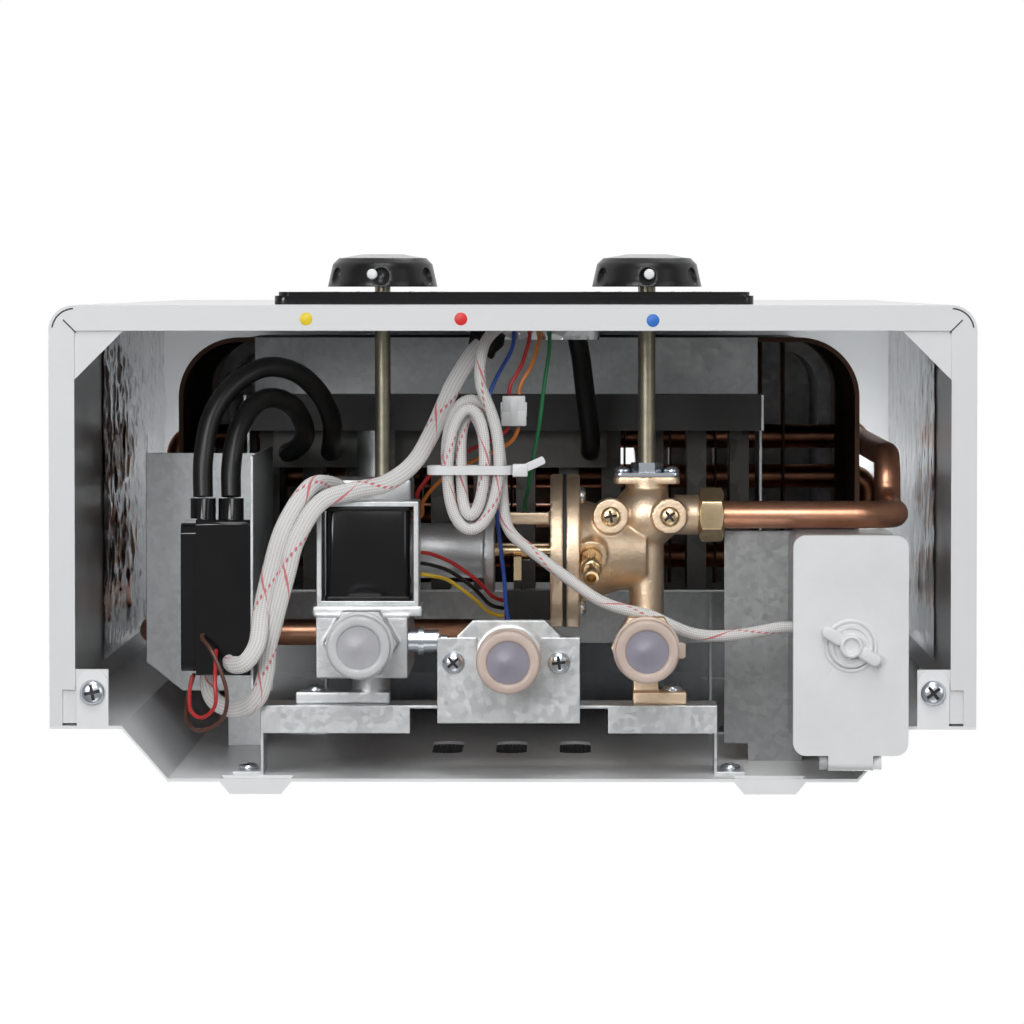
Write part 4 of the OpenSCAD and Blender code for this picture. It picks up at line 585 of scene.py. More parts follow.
        def math_node(operation: str, first: object, second: object) -> bpy.types.NodeSocket:
            """Adds a maths node fed by sockets or plain numbers and gives its output."""
            node = nodes.new("ShaderNodeMath")
            node.operation = operation
            for index, value in enumerate((first, second)):
                if isinstance(value, bpy.types.NodeSocket):
                    links.new(value, node.inputs[index])
                elif value is not None:
                    node.inputs[index].default_value = value
            return node.outputs["Value"]

        turns = math_node("MULTIPLY", split.outputs["X"], 2 * math.pi * 8)
        along = math_node("MULTIPLY", split.outputs["Y"], 2 * math.pi)
        left = math_node("SINE", math_node("ADD", turns, along), None)
        right = math_node("SINE", math_node("SUBTRACT", turns, along), None)
        braid = math_node("MULTIPLY", left, right)
        height = math_node("MULTIPLY_ADD", braid, 0.5)
        height.node.inputs[2].default_value = 0.5
        once = math_node("MULTIPLY", split.outputs["X"], 2 * math.pi)
        threads = []
        for sense in (1, -1):
            slant = math_node("ADD", once, math_node("MULTIPLY", along, sense * 0.03))
            threads.append(math_node("GREATER_THAN", math_node("SINE", slant, None), 0.982))
        picked = math_node("MAXIMUM", *threads)
        beat = math_node("SINE", math_node("ADD", math_node("MULTIPLY", along, 0.31), turns), None)
        fleck = math_node("MULTIPLY", picked, math_node("GREATER_THAN", beat, -0.1))
        # Painted shade: the colour darkens towards grey where the braid lies low, between the strands.
        shade = nodes.new("ShaderNodeMix")
        shade.data_type = "RGBA"
        shade.inputs[7].default_value = (0.50, 0.49, 0.48, 1)
        mark = nodes.new("ShaderNodeMix")
        mark.data_type = "RGBA"
        links.new(math_node("SUBTRACT", 1.0, height), shade.inputs[0])
        links.new(inside.outputs["Base"], shade.inputs[6])
        links.new(fleck, mark.inputs[0])
        links.new(shade.outputs[2], mark.inputs[6])
        links.new(inside.outputs["Fleck"], mark.inputs[7])
        links.new(mark.outputs[2], outside.inputs["Color"])
        links.new(height, outside.inputs["Height"])
        return tree


@dataclass(frozen=True)
class Finish:
    """A surface finish that makes its own procedural material.

    Attributes:
        name: Name of the material.
        base: Main colour.
        patch: Second colour, in the patches of the pattern.
        surface: Pattern laid over the colour.
        metallic: Metallic weight.
        rough: Roughness in the smoothest and the roughest patches.
        scale: Scale of the pattern's patches, per metre.
        grain: Scale of the fine relief, per metre.
        depth_m: Depth of the relief.
        stretch: Squeeze of the pattern along each axis.
        coat: Weight of a clear coat.
        shine: Level of the mirror-like part of a surface that is no metal.
        alpha: Opacity.
        glow: Strength of the surface's own light.
    """

    name: str
    base: Colour
    patch: Colour
    surface: Surface = Surface.PLAIN
    metallic: float = 0.0
    rough: tuple[float, float] = (0.3, 0.45)
    scale: float = 40.0
    grain: float = 900.0
    depth_m: float = 0.0
    stretch: Point = (1.0, 1.0, 1.0)
    coat: float = 0.0
    shine: float = 0.5
    alpha: float = 1.0
    glow: float = 0.0

    def material(self) -> bpy.types.Material:
        """Gives the finish's material and builds it the first time.

        Returns:
            The material.
        """
        found = bpy.data.materials.get(self.name + "_finish")
        if found:
            return found
        mat = bpy.data.materials.new(self.name + "_finish")
        mat.use_nodes = True
        shader = mat.node_tree.nodes["Principled BSDF"]
        shader.inputs["Metallic"].default_value = self.metallic
        shader.inputs["Specular IOR Level"].default_value = self.shine
        shader.inputs["Coat Weight"].default_value = self.coat
        shader.inputs["Coat Roughness"].default_value = 0.08
        shader.inputs["Alpha"].default_value = self.alpha
        if self.glow > 0:
            shader.inputs["Emission Color"].default_value = (*self.base, 1)
            shader.inputs["Emission Strength"].default_value = self.glow
        if self.surface is Surface.WEAVE:
            self._woven(mat.node_tree, shader)
        else:
            self._patterned(mat.node_tree, shader)
        mat.diffuse_color = (*self.base, self.alpha)
        return mat

    def _vector(self, tree: bpy.types.NodeTree, output: str) -> bpy.types.NodeSocket:
        """Adds the coordinates that the pattern lies on.

        Args:
            tree: Node tree of the material.
            output: Which coordinates to take.

        Returns:
            The stretched coordinates.
        """
        coords = tree.nodes.new("ShaderNodeTexCoord")
        mapping = tree.nodes.new("ShaderNodeMapping")
        mapping.inputs["Scale"].default_value = self.stretch
        tree.links.new(coords.outputs[output], mapping.inputs["Vector"])
        return mapping.outputs["Vector"]

    def _group(self, tree: bpy.types.NodeTree, group: bpy.types.NodeTree, vector: bpy.types.NodeSocket) -> bpy.types.Node:
        """Adds a shared effect with this finish's values.

        Args:
            tree: Node tree of the material.
            group: The shared effect.
            vector: Coordinates that it lies on.

        Returns:
            The group node.
        """
        node = tree.nodes.new("ShaderNodeGroup")
        node.node_tree = group
        tree.links.new(vector, node.inputs["Vector"])
        values = {
            "Scale": self.scale,
            "Base": (*self.base, 1),
            "Patch": (*self.patch, 1),
            "Fleck": (*self.patch, 1),
            "Smooth": self.rough[0],
            "Rough": self.rough[1],
        }
        for label, value in values.items():
            if label in node.inputs:
                node.inputs[label].default_value = value
        return node

    def _raise(self, tree: bpy.types.NodeTree, shader: bpy.types.Node, height: bpy.types.NodeSocket) -> None:
        """Feeds a height into the shader's normal.

        Args:
            tree: Node tree of the material.
            shader: The surface shader.
            height: Height of the relief.
        """
        bump = tree.nodes.new("ShaderNodeBump")
        bump.inputs["Strength"].default_value = 1.0
        bump.inputs["Distance"].default_value = self.depth_m
        tree.links.new(height, bump.inputs["Height"])
        tree.links.new(bump.outputs["Normal"], shader.inputs["Normal"])

    def _patterned(self, tree: bpy.types.NodeTree, shader: bpy.types.Node) -> None:
        """Lays the finish's pattern on the object's own coordinates.

        Args:
            tree: Node tree of the material.
            shader: The surface shader.
        """
        vector = self._vector(tree, "Object")
        angular = self.surface in (Surface.CRINKLE, Surface.SPANGLE)
        group = ShaderGroups.cells() if angular else ShaderGroups.mottle()
        pattern = self._group(tree, group, vector)
        tree.links.new(pattern.outputs["Color"], shader.inputs["Base Color"])
        tree.links.new(pattern.outputs["Roughness"], shader.inputs["Roughness"])
        if self.depth_m <= 0:
            return
        if self.surface is Surface.CRINKLE:
            self._raise(tree, shader, pattern.outputs["Height"])
            return
        relief = self._group(tree, ShaderGroups.relief(), vector)
        relief.inputs["Scale"].default_value = self.grain
        relief.inputs["Coarse"].default_value = self.grain / 7
        self._raise(tree, shader, relief.outputs["Height"])

    def _woven(self, tree: bpy.types.NodeTree, shader: bpy.types.Node) -> None:
        """Lays the braid on the piece's own coordinates round and along.

        Args:
            tree: Node tree of the material.
            shader: The surface shader.
        """
        shader.inputs["Roughness"].default_value = self.rough[1]
        braid = self._group(tree, ShaderGroups.weave(), self._vector(tree, "UV"))
        tree.links.new(braid.outputs["Color"], shader.inputs["Base Color"])
        self._raise(tree, shader, braid.outputs["Height"])


class Paint:
    """The finishes of the heater."""

    WHITE = Finish("white_paint", (0.76, 0.77, 0.78), (0.745, 0.755, 0.765), rough=(0.3, 0.36), scale=60, depth_m=2e-5, coat=0.25)
    # Darker copy of the white paint, as painted shade for the casing's inner walls; no solid takes it.
    INNER_SHADE = Finish("inner_paint_shade", (0.50, 0.51, 0.52), (0.42, 0.43, 0.44), rough=(0.4, 0.5), scale=14)
    REAR = Finish("rear_paint", (0.82, 0.83, 0.84), (0.80, 0.81, 0.82), rough=(0.32, 0.4), scale=60, depth_m=2e-5)
    FOIL = Finish(
        "foil", (0.90, 0.91, 0.92), (0.80, 0.81, 0.83), Surface.CRINKLE, 0.92, (0.08, 0.2), scale=70, depth_m=8e-5
    )
    WRAP = Finish(
        "foil_wrap", (0.88, 0.89, 0.90), (0.70, 0.71, 0.73), Surface.CRINKLE, 0.9, (0.1, 0.28), scale=230, depth_m=7e-4
    )
    PLATED = Finish("plated_steel", (0.72, 0.75, 0.80), (0.52, 0.56, 0.62), metallic=1.0, rough=(0.16, 0.34), scale=140)
    GLOSS = Finish("black_gloss", (0.006, 0.006, 0.007), (0.009, 0.009, 0.01), rough=(0.08, 0.16), scale=30, shine=0.4)
    DISPLAY = Finish("display", (0.02, 0.03, 0.035), (0.035, 0.05, 0.055), rough=(0.05, 0.1), scale=20, coat=0.8)
    BLACK = Finish("black_plastic", (0.006, 0.006, 0.006), (0.01, 0.01, 0.01), rough=(0.22, 0.36), scale=60, depth_m=2e-5, shine=0.35)
    GREY = Finish("grey_insert", (0.55, 0.56, 0.57), (0.45, 0.46, 0.47), rough=(0.3, 0.4), scale=60)
    ZINC = Finish(
        "zinc_spindle", (0.42, 0.38, 0.28), (0.30, 0.28, 0.22), Surface.CAST, 0.9, (0.3, 0.5), scale=120, depth_m=4e-5
    )
    CAST = Finish(
        "cast_aluminium", (0.66, 0.67, 0.68), (0.52, 0.53, 0.54), Surface.CAST, 0.9, (0.36, 0.55), scale=70, depth_m=1.2e-4
    )
    GALV = Finish(
        "galvanised", (0.70, 0.72, 0.73), (0.61, 0.63, 0.64), Surface.SPANGLE, 0.85, (0.3, 0.42), scale=420, depth_m=1.5e-5
    )
    BRASS = Finish(
        "brass", (0.92, 0.74, 0.55), (0.78, 0.60, 0.42), Surface.CAST, 1.0, (0.34, 0.56), scale=90, depth_m=1.4e-4
    )
    TURNED = Finish("turned_brass", (0.90, 0.72, 0.46), (0.76, 0.56, 0.32), metallic=1.0, rough=(0.18, 0.32), scale=200)
    COPPER = Finish("copper", (0.86, 0.46, 0.30), (0.66, 0.31, 0.19), metallic=1.0, rough=(0.26, 0.42), scale=45, depth_m=2e-5)
    COPPER_DARK = Finish(
        "copper_dark", (0.19, 0.10, 0.065), (0.09, 0.055, 0.04), metallic=0.8, rough=(0.35, 0.6), scale=18, depth_m=3e-5
    )
    RUBBER = Finish("rubber", (0.015, 0.015, 0.015), (0.03, 0.03, 0.03), rough=(0.45, 0.65), scale=80)
    GREY_CAP = Finish("grey_cap", (0.80, 0.81, 0.82), (0.66, 0.67, 0.68), rough=(0.2, 0.3), scale=60, alpha=0.72)
    WARM_CAP = Finish("warm_cap", (0.80, 0.66, 0.58), (0.66, 0.52, 0.46), rough=(0.2, 0.3), scale=60, alpha=0.72)
    GREY_DISC = Finish("grey_disc", (0.46, 0.46, 0.48), (0.38, 0.38, 0.40), rough=(0.25, 0.4), scale=60)
    LILAC = Finish("lilac_disc", (0.34, 0.325, 0.385), (0.28, 0.265, 0.32), rough=(0.25, 0.4), scale=60, alpha=0.85)
    MILK = Finish("white_plastic", (0.80, 0.81, 0.82), (0.73, 0.74, 0.75), rough=(0.25, 0.38), scale=25, depth_m=1e-5)
    CLEAR = Finish("clear_plastic", (0.78, 0.80, 0.82), (0.70, 0.72, 0.74), rough=(0.1, 0.2), scale=40, alpha=0.45)
    BURNER = Finish(
        "burner_steel", (0.085, 0.083, 0.08), (0.05, 0.048, 0.046), Surface.SPANGLE, 0.6, (0.35, 0.55), scale=120, depth_m=1e-5
    )
    BLACK_STEEL = Finish("black_steel", (0.016, 0.016, 0.017), (0.026, 0.026, 0.026), rough=(0.34, 0.5), scale=50, depth_m=2e-5)
    FIRED_CLAY = Finish("fired_clay", (0.12, 0.117, 0.11), (0.08, 0.078, 0.074), rough=(0.3, 0.5), scale=60)
    # Darker copy of the galvanised finish, as painted shade on the battery bracket and the flue baffle.
    SHADED_ZINC = Finish(
        "shaded_zinc", (0.38, 0.385, 0.39), (0.31, 0.315, 0.32), Surface.SPANGLE, 0.8, (0.34, 0.46), scale=420, depth_m=1.5e-5
    )
    # Dark painted shade for the faces inside screw recesses.
    RECESS_SHADE = Finish("painted_recess_shade", (0.06, 0.06, 0.065), (0.03, 0.03, 0.03), metallic=0.6, rough=(0.4, 0.6), scale=300)
    SLEEVE = Finish(
        "woven", (0.86, 0.85, 0.84), (0.62, 0.20, 0.22), Surface.WEAVE, rough=(0.6, 0.72), depth_m=1.2e-4
    )
    LEAD = Finish("lead_rubber", (0.007, 0.007, 0.007), (0.012, 0.012, 0.012), rough=(0.28, 0.4), scale=60, shine=0.4)
    RED_WIRE = Finish("wire_red", (0.55, 0.03, 0.03), (0.45, 0.025, 0.025), rough=(0.3, 0.42), scale=80)
    ORANGE_WIRE = Finish("wire_orange", (0.70, 0.22, 0.04), (0.58, 0.17, 0.03), rough=(0.3, 0.42), scale=80)
    BLUE_WIRE = Finish("wire_blue", (0.035, 0.10, 0.45), (0.03, 0.08, 0.36), rough=(0.3, 0.42), scale=80)
    GREEN_WIRE = Finish("wire_green", (0.02, 0.20, 0.07), (0.015, 0.15, 0.055), rough=(0.3, 0.42), scale=80)
    YELLOW_WIRE = Finish("wire_yellow", (0.70, 0.47, 0.04), (0.6, 0.4, 0.03), rough=(0.3, 0.42), scale=80)
    BROWN_WIRE = Finish("wire_brown", (0.11, 0.04, 0.025), (0.08, 0.03, 0.02), rough=(0.3, 0.42), scale=80)
    YELLOW_DOT = Finish("dot_yellow", (0.85, 0.66, 0.02), (0.8, 0.6, 0.02), rough=(0.35, 0.45))
    RED_DOT = Finish("dot_red", (0.75, 0.03, 0.03), (0.68, 0.025, 0.025), rough=(0.35, 0.45))
    BLUE_DOT = Finish("dot_blue", (0.03, 0.18, 0.62), (0.025, 0.15, 0.55), rough=(0.35, 0.45))
    SHADOW = Finish("seam_shadow", (0.03, 0.03, 0.03), (0.05, 0.05, 0.05), rough=(0.7, 0.8))
    PRINT = Finish("white_print", (0.82, 0.83, 0.84), (0.76, 0.77, 0.78), rough=(0.4, 0.5))


def carve(target: Shaper, cutter: Shaper, operation: str = "DIFFERENCE") -> Shaper:
    """Cuts one mesh with another.

    Args:
        target: The mesh to cut. It is used up.
        cutter: The mesh that cuts. It is used up.
        operation: Kind of cut, DIFFERENCE or INTERSECT.

    Returns:
        The cut mesh.
    """
    objects = []
    for shaper in (target, cutter):
        mesh = bpy.data.meshes.new("carve")
        shaper.bm.to_mesh(mesh)
        shaper.bm.free()
        obj = bpy.data.objects.new("carve", mesh)
        bpy.context.scene.collection.objects.link(obj)
        objects.append(obj)
    cut = objects[0].modifiers.new("cut", "BOOLEAN")
    cut.operation = operation
    cut.solver = "EXACT"
    cut.object = objects[1]
    bpy.context.view_layer.update()
    depsgraph = bpy.context.evaluated_depsgraph_get()
    mesh = bpy.data.meshes.new_from_object(objects[0].evaluated_get(depsgraph))
    for obj in objects:
        bpy.data.objects.remove(obj)
    result = Shaper()
    result.bm.from_mesh(mesh)
    bpy.data.meshes.remove(mesh)
    return result


@dataclass
class Screw:
    """A machine screw with a rounded head and a driven recess.

    Attributes:
        seat: Middle of the face under its head.
        axis: Direction from the seat out through the head.
        length: Length of its shank.
        head_d: Diameter of its head.
        head_h: Height of its head.
        shank_d: Diameter of its shank.
        drive: Shape of its recess.
        turn: Turn of the recess, in degrees.
    """

    seat: Point
    axis: Vector
    length: float
    head_d: float = 8.0
    head_h: float = 2.4
    shank_d: float = 3.8
    drive: Drive = Drive.CROSS
    turn: float = 20.0

    def place(self) -> Matrix:
        """Gives the screw's placement."""
        return seated(rim(*self.seat), self.axis, math.radians(self.turn))

    def add(self, shaper: Shaper) -> None:
        """Adds the screw's turned shape, standing on its own Z.

        Args:
            shaper: Mesh that the screw is added to.
        """
        r, h, core = self.head_d / 2, self.head_h, self.shank_d / 2
        profile = [(0.0, -self.length), (core * 0.7, -self.length), (core, 0.6 - self.length), (core, 0.0)]
        profile += [(r * 0.94, 0.0), (r, 0.12 * h), (r, 0.38 * h), (r * 0.93, 0.62 * h)]
        profile += [(r * 0.78, 0.82 * h), (r * 0.55, 0.95 * h), (r * 0.28, h), (0.0, h)]
        shaper.lathe(profile, Matrix.Identity(4), steps=28)

    def cut(self, shaper: Shaper) -> None:
        """Adds the plug that cuts its recess.

        Args:
            shaper: Mesh that the plug is added to.
        """
        far, near = self.head_d * 0.31, self.head_d * 0.065
        if self.drive is Drive.CROSS:
            quarter = [(far, -near), (far, near), (near, near)]
            outline = [(x, y) for x, y in quarter]
            for _ in range(3):
                quarter = [(-y, x) for x, y in quarter]
                outline += quarter
        else:
            outline = [(-self.head_d, -near), (self.head_d, -near), (self.head_d, near), (-self.head_d, near)]
        shaper.plate(outline, self.head_h, Matrix.Translation((0, 0, self.head_h * 0.5)))


@dataclass
class Fasteners:
    """All the screws and bolts that show.

    Attributes:
        casing: Pan heads that hold the casing and its brackets.
        valve: Bolts of the water valve's flange and gland.
        plugs: Brass plugs in the water valve's round bosses.
    """

    casing: list[Screw] = field(default_factory=list)
    valve: list[Screw] = field(default_factory=list)
    plugs: list[Screw] = field(default_factory=list)

    def __post_init__(self) -> None:
        """Lists every screw at its seat."""
        for x, turn in ((-163.25, 12), (163.25, 38)):
            self.casing.append(Screw((x, -39.6, 0), DOWN, 8, 9.8, 3.0, turn=turn))
        tray = [(-104.5, 32, 5), (85.5, 32, 30), (-113, 163.5, 60), (105, 93.5, 10), (-90, 223.5, 25), (90, 223.5, 70)]
        for x, z, turn in tray:
            self.casing.append(Screw((x, -7.2, z), TO_ROOM, 5, turn=turn))
        for x, turn in ((-78, 15), (62.5, 50)):
            self.casing.append(Screw((x, -38, 32), TO_ROOM, 10, turn=turn))
        self.casing.append(Screw((-101.3, -74, 35), TO_RIGHT, 8, turn=33))
        for x, turn in ((-23.1, 41), (18, 7)):
            self.casing.append(Screw((x, -50.9, 5), DOWN, 8, 8.6, 2.6, turn=turn))
        for y in (-113.4, -68.6):
            for z in (66.8, 93.2):
                self.valve.append(Screw((26.2, y, z), TO_RIGHT, 9.8, 6.4, 2.4, 3.0, Drive.CROSS, y + z))
        for x in (43.0, 63.0):
            self.valve.append(Screw((x, -122.5, 80), TO_ROOM, 4, 6.4, 2.4, 3.0, Drive.CROSS, x))
        for x, turn in ((38.5, 10), (62.0, 40)):
            self.plugs.append(Screw((x, -105.5, 62), DOWN, 5.7, 8.0, 2.0, 5.0, Drive.CROSS, turn))

    def _joined(self, screws: list[Screw]) -> Shaper:
        """Makes one mesh of some screws, cuts their recesses and paints the recess faces dark as painted shade.

        Args:
            screws: The screws.

        Returns:
            The mesh.
        """
        joined = Shaper()
        for screw in screws:
            solid, bars = Shaper(), Shaper()
            screw.add(solid)
            screw.cut(bars)
            cut = carve(solid, bars)
            # Painted shade: faces inside each recess take the dark second finish.
            for face in cut.bm.faces:
                spot = face.calc_center_median()
                inside = math.hypot(spot.x, spot.y) < screw.head_d * 0.32
                if inside and 0.45 < spot.z / screw.head_h < 0.86:
                    face.material_index = 1
            joined.absorb(cut, screw.place())
        return joined

    def build(self) -> None:
        """Builds the screws in three pieces."""
        self._joined(self.casing).piece(
            "casing_screw_set", [Paint.PLATED, Paint.RECESS_SHADE], Body.HEATER, ("casing_screws",), "plated_steel"
        )
        self._joined(self.valve).piece(
            "valve_bolt_set", [Paint.PLATED, Paint.RECESS_SHADE], Body.HEATER, ("valve_screws",), "plated_steel"
        )
        self._joined(self.plugs).piece(
            "boss_plugs", [Paint.TURNED, Paint.RECESS_SHADE], Body.HEATER, ("blanking_plugs",), "brass"
        )


@dataclass
class WaterValve:
    """The brass water valve with its union nut, drain plug and castings.

    Attributes:
        axis_y: Position of the pipe axis.
        axis_z: Height of the pipe axis.
        nut_x: Start of the union nut.
        nut_w: Length of the union nut.
        nut_flats: Size across the nut's flats.
        nut_bore: Bore of the nut.
        drain_at: Start of the drain plug's axis.
        drain_tilt: Lean of that axis towards the wall, in degrees.
        drain_seat: Distance along the axis to the plug's head.
        drain_d: Diameter of the knurled head.
        knurls: Number of ridges round the head.
        hot_plate_at: Middle of the hot outlet's mounting plate.
        hot_plate_half: Half the thickness of that plate, with its rounding.
        hot_collar_r: Radius of the collar that stands on it.
    """

    axis_y: float = -105.5
    axis_z: float = 80.0
    nut_x: float = 74.0
    nut_w: float = 10.0
    nut_flats: float = 19.0
    nut_bore: float = 11.2
    drain_at: Point = (30.75, -96.7, 80.0)
    drain_tilt: float = 18.0
    drain_seat: float = 23.0
    drain_d: float = 8.5
    knurls: int = 26
    hot_plate_at: Point = (-1.5, -52.6, 8.0)
    hot_plate_half: float = 2.6
    hot_collar_r: float = 11.8

    def build_nut(self) -> None:
        """Builds the union nut: a hexagon with turned ends and a bore."""
        place = seated(rim(self.nut_x, self.axis_y, self.axis_z), TO_RIGHT, math.radians(30))
        outer = self.nut_flats / 2 / math.cos(math.pi / 6)
        flat = self.nut_flats / 2 + 0.1
        body, turned, bore = Shaper(), Shaper(), Shaper()
        own = Matrix.Identity(4)
        body.hexagon(self.nut_flats, self.nut_w, own, 0.25)
        profile = [(0, 0), (flat - 0.4, 0), (outer + 0.1, 1.3), (outer + 0.1, self.nut_w - 1.3)]
        profile += [(flat - 0.4, self.nut_w), (0, self.nut_w)]
        turned.lathe(profile, own, steps=48)
        bore.lathe([(0, -1), (self.nut_bore / 2, -1), (self.nut_bore / 2, self.nut_w + 1), (0, self.nut_w + 1)], own)
        shaped = Shaper()
        shaped.absorb(carve(carve(body, turned, "INTERSECT"), bore), place)
        shaped.piece("pipe_union_nut", [Paint.TURNED], Body.HEATER, ("union_nut",), "brass")

    def build_drain(self) -> None:
        """Builds the knurled drain plug with its nose and drain hole."""
        lean = math.radians(self.drain_tilt)
        axis = Vector((0, math.sin(lean), -math.cos(lean)))
        place = seated(rim(*self.drain_at), axis)
        head, start = self.drain_d / 2, self.drain_seat
        profile = [(0, start), (head - 0.5, start), (head, start + 0.6), (head, start + 5), (head, start + 10)]
        profile += [(head, start + 14.4), (head - 0.6, start + 15), (3.25, start + 15.2), (3.25, start + 23.4)]
        profile += [(2.9, start + 24), (1.9, start + 24), (1.8, start + 12), (0, start + 11)]
        shaper = Shaper()
        shaper.lathe(profile, Matrix.Identity(4), steps=self.knurls * 2)
        for vert in shaper.bm.verts:
            reach = math.hypot(vert.co.x, vert.co.y)
            ridge = round(math.atan2(vert.co.y, vert.co.x) / math.pi * self.knurls)
            if reach > head - 0.1 and ridge % 2:
                vert.co.x *= 0.93
                vert.co.y *= 0.93
        bmesh.ops.transform(shaper.bm, matrix=place, verts=shaper.bm.verts[:])
        shaper.piece("knurled_drain_plug", [Paint.TURNED], Body.DRAIN_PLUG, ("drain_plug",), "brass")

    def mark_hot_plate(self, mesh: bpy.types.Mesh) -> None:
        """Marks the faces of the hot outlet's zinc-plated mounting plate.

        Args:
            mesh: Mesh of the outlet.
        """
        middle = rim(*self.hot_plate_at)
        for face in mesh.polygons:
            off = (face.center - middle) / MM
            if abs(off.z) < self.hot_plate_half and math.hypot(off.x, off.y) > self.hot_collar_r:
                face.material_index = 1

    def build_castings(self) -> None:
        """Builds softened copies of the sand-cast and die-cast bodies."""
        finishes = {
            "water_valve_body": (Paint.BRASS, "brass"),
            "diaphragm_cover": (Paint.BRASS, "brass"),
            "cold_inlet": (Paint.BRASS, "brass"),
            "hot_outlet": (Paint.BRASS, "brass"),
            "gas_inlet_body": (Paint.CAST, "cast_aluminium"),
            "gas_valve_body": (Paint.CAST, "cast_aluminium"),
        }
        for node, (finish, slot) in finishes.items():
            mesh = cast_copy(node, 0.0006, 3)
            dress = [finish]
            if node == "hot_outlet":
                self.mark_hot_plate(mesh)
                dress.append(Paint.GALV)
            settle_piece(mesh, node + "_cast", dress, Body.HEATER, (node,))

    def build(self) -> None:
        """Builds the valve's pieces."""
        self.build_nut()
        self.build_drain()
        self.build_castings()


@dataclass
class PortCap:
    """A moulded transport cap on a threaded port.

    Attributes:
        name: Name of the port.
        node: Solid that the cap stands for.
        body: Body that it rides on.
        x: Middle of the port.
        y: Middle of the port.
        rim_out: How far its rim stands out.
        ring: Finish of its wall.
        disc: Finish of its middle.
        slot: Material slot of the record.
        tab: Whether a small pull tab stands out at its side.
    """

    name: str
    node: str
    body: Body
    x: float
    y: float
    rim_out: float
    ring: Finish
    disc: Finish
    slot: str
    tab: bool = False
    wall_r: float = 12.18
    inner_r: float = 11.38
    floor_z: float = -23.4
    top_z: float = -7.4
    disc_r: float = 8.2

    def build(self) -> None:
        """Builds the cap with its rolled rim and its middle."""
        place = Matrix.Translation(rim(self.x, self.y, 0)) @ Matrix.Scale(MM, 4)
        r, low, top = self.wall_r, self.floor_z, self.top_z
        shaper = Shaper()
        profile = [(self.disc_r, low + 1.4), (self.disc_r, low + 0.9), (self.disc_r + 0.4, low + 0.3)]
        profile += [(self.disc_r + 1, low), (r - 1.2, low), (r - 0.5, low + 0.2), (r - 0.1, low + 0.7), (r, low + 1.4)]
        profile += [(r, top - 3.2), (r + self.rim_out, top - 2.8), (r + self.rim_out, top - 0.4), (r + self.rim_out - 0.4, top)]
        profile += [(self.inner_r, top), (self.inner_r, low + 1.4), (self.disc_r, low + 1.4)]
        shaper.lathe(profile, place, 56, 0)
        middle = [(0, low + 0.5), (2.2, low + 0.5), (2.6, low + 0.7), (self.disc_r, low + 0.7)]
        middle += [(self.disc_r, low + 1.4), (0, low + 1.4)]
        shaper.lathe(middle, place, 56, 1)
        if self.tab:
            out = rim(self.x + r + 1.0, self.y, top - 5)
            shaper.tablet((3.6, 6, 3), Matrix.Translation(out) @ Matrix.Scale(MM, 4), 1.2, 0.4, 0)
        shaper.piece(self.name + "_port_cap", [self.ring, self.disc], self.body, (self.node,), self.slot)


@dataclass
class Ports:
    """The three threaded ports under the heater.

    Attributes:
        thread_r: Radius of the thread's crests.
        root_r: Radius of the thread's roots.
        pitch: Pitch of the thread.
        low_z: Start of the thread.
        turns: Number of crests.
    """

    thread_r: float = 10.72
    root_r: float = 10.3
    pitch: float = 1.814
    low_z: float = -21.6
    turns: int = 9

    def thread(self, name: str, x: float, y: float, finish: Finish, slot: str) -> None:
        """Adds the crests of a port's thread.

        Args:
            name: Name of the port.
            x: Middle of the port.
            y: Middle of the port.
            finish: Finish of the port.
            slot: Material slot of the record.
        """
        place = Matrix.Translation(rim(x, y, 0)) @ Matrix.Scale(MM, 4)
        shaper = Shaper()
        for turn in range(self.turns):
            low = self.low_z + turn * self.pitch
            mid = low + self.pitch / 2
            crest = [(self.root_r, low), (self.thread_r, mid - 0.15), (self.thread_r, mid + 0.15)]
            crest += [(self.root_r, low + self.pitch), (self.root_r, low)]
            shaper.lathe(crest, place, 48)
        shaper.piece(name + "_thread", [finish], Body.HEATER, (), slot)

    def build(self) -> None:
        """Builds the threads and caps of the gas, hot and cold ports."""
        self.thread("gas", -59, -58.4, Paint.CAST, "cast_aluminium")
        self.thread("hot", -1.5, -52.6, Paint.TURNED, "brass")
        self.thread("cold", 52, -56.8, Paint.TURNED, "brass")
        PortCap("gas", "gas_inlet_cap", Body.GAS_CAP, -59, -58.4, 1.0, Paint.GREY_CAP, Paint.GREY_DISC, "grey_cap").build()
        PortCap("hot", "hot_outlet_cap", Body.HOT_CAP, -1.5, -52.6, 0.4, Paint.WARM_CAP, Paint.LILAC, "warm_cap").build()
        PortCap(
            "cold", "cold_inlet_cap", Body.COLD_CAP, 52, -56.8, 0.8, Paint.WARM_CAP, Paint.LILAC, "warm_cap", True
        ).build()


def eased(value: float) -> float:
    """Eases a value from 0 to 1 with level ends."""
    held = min(1.0, max(0.0, value))
    return held * held * (3 - 2 * held)


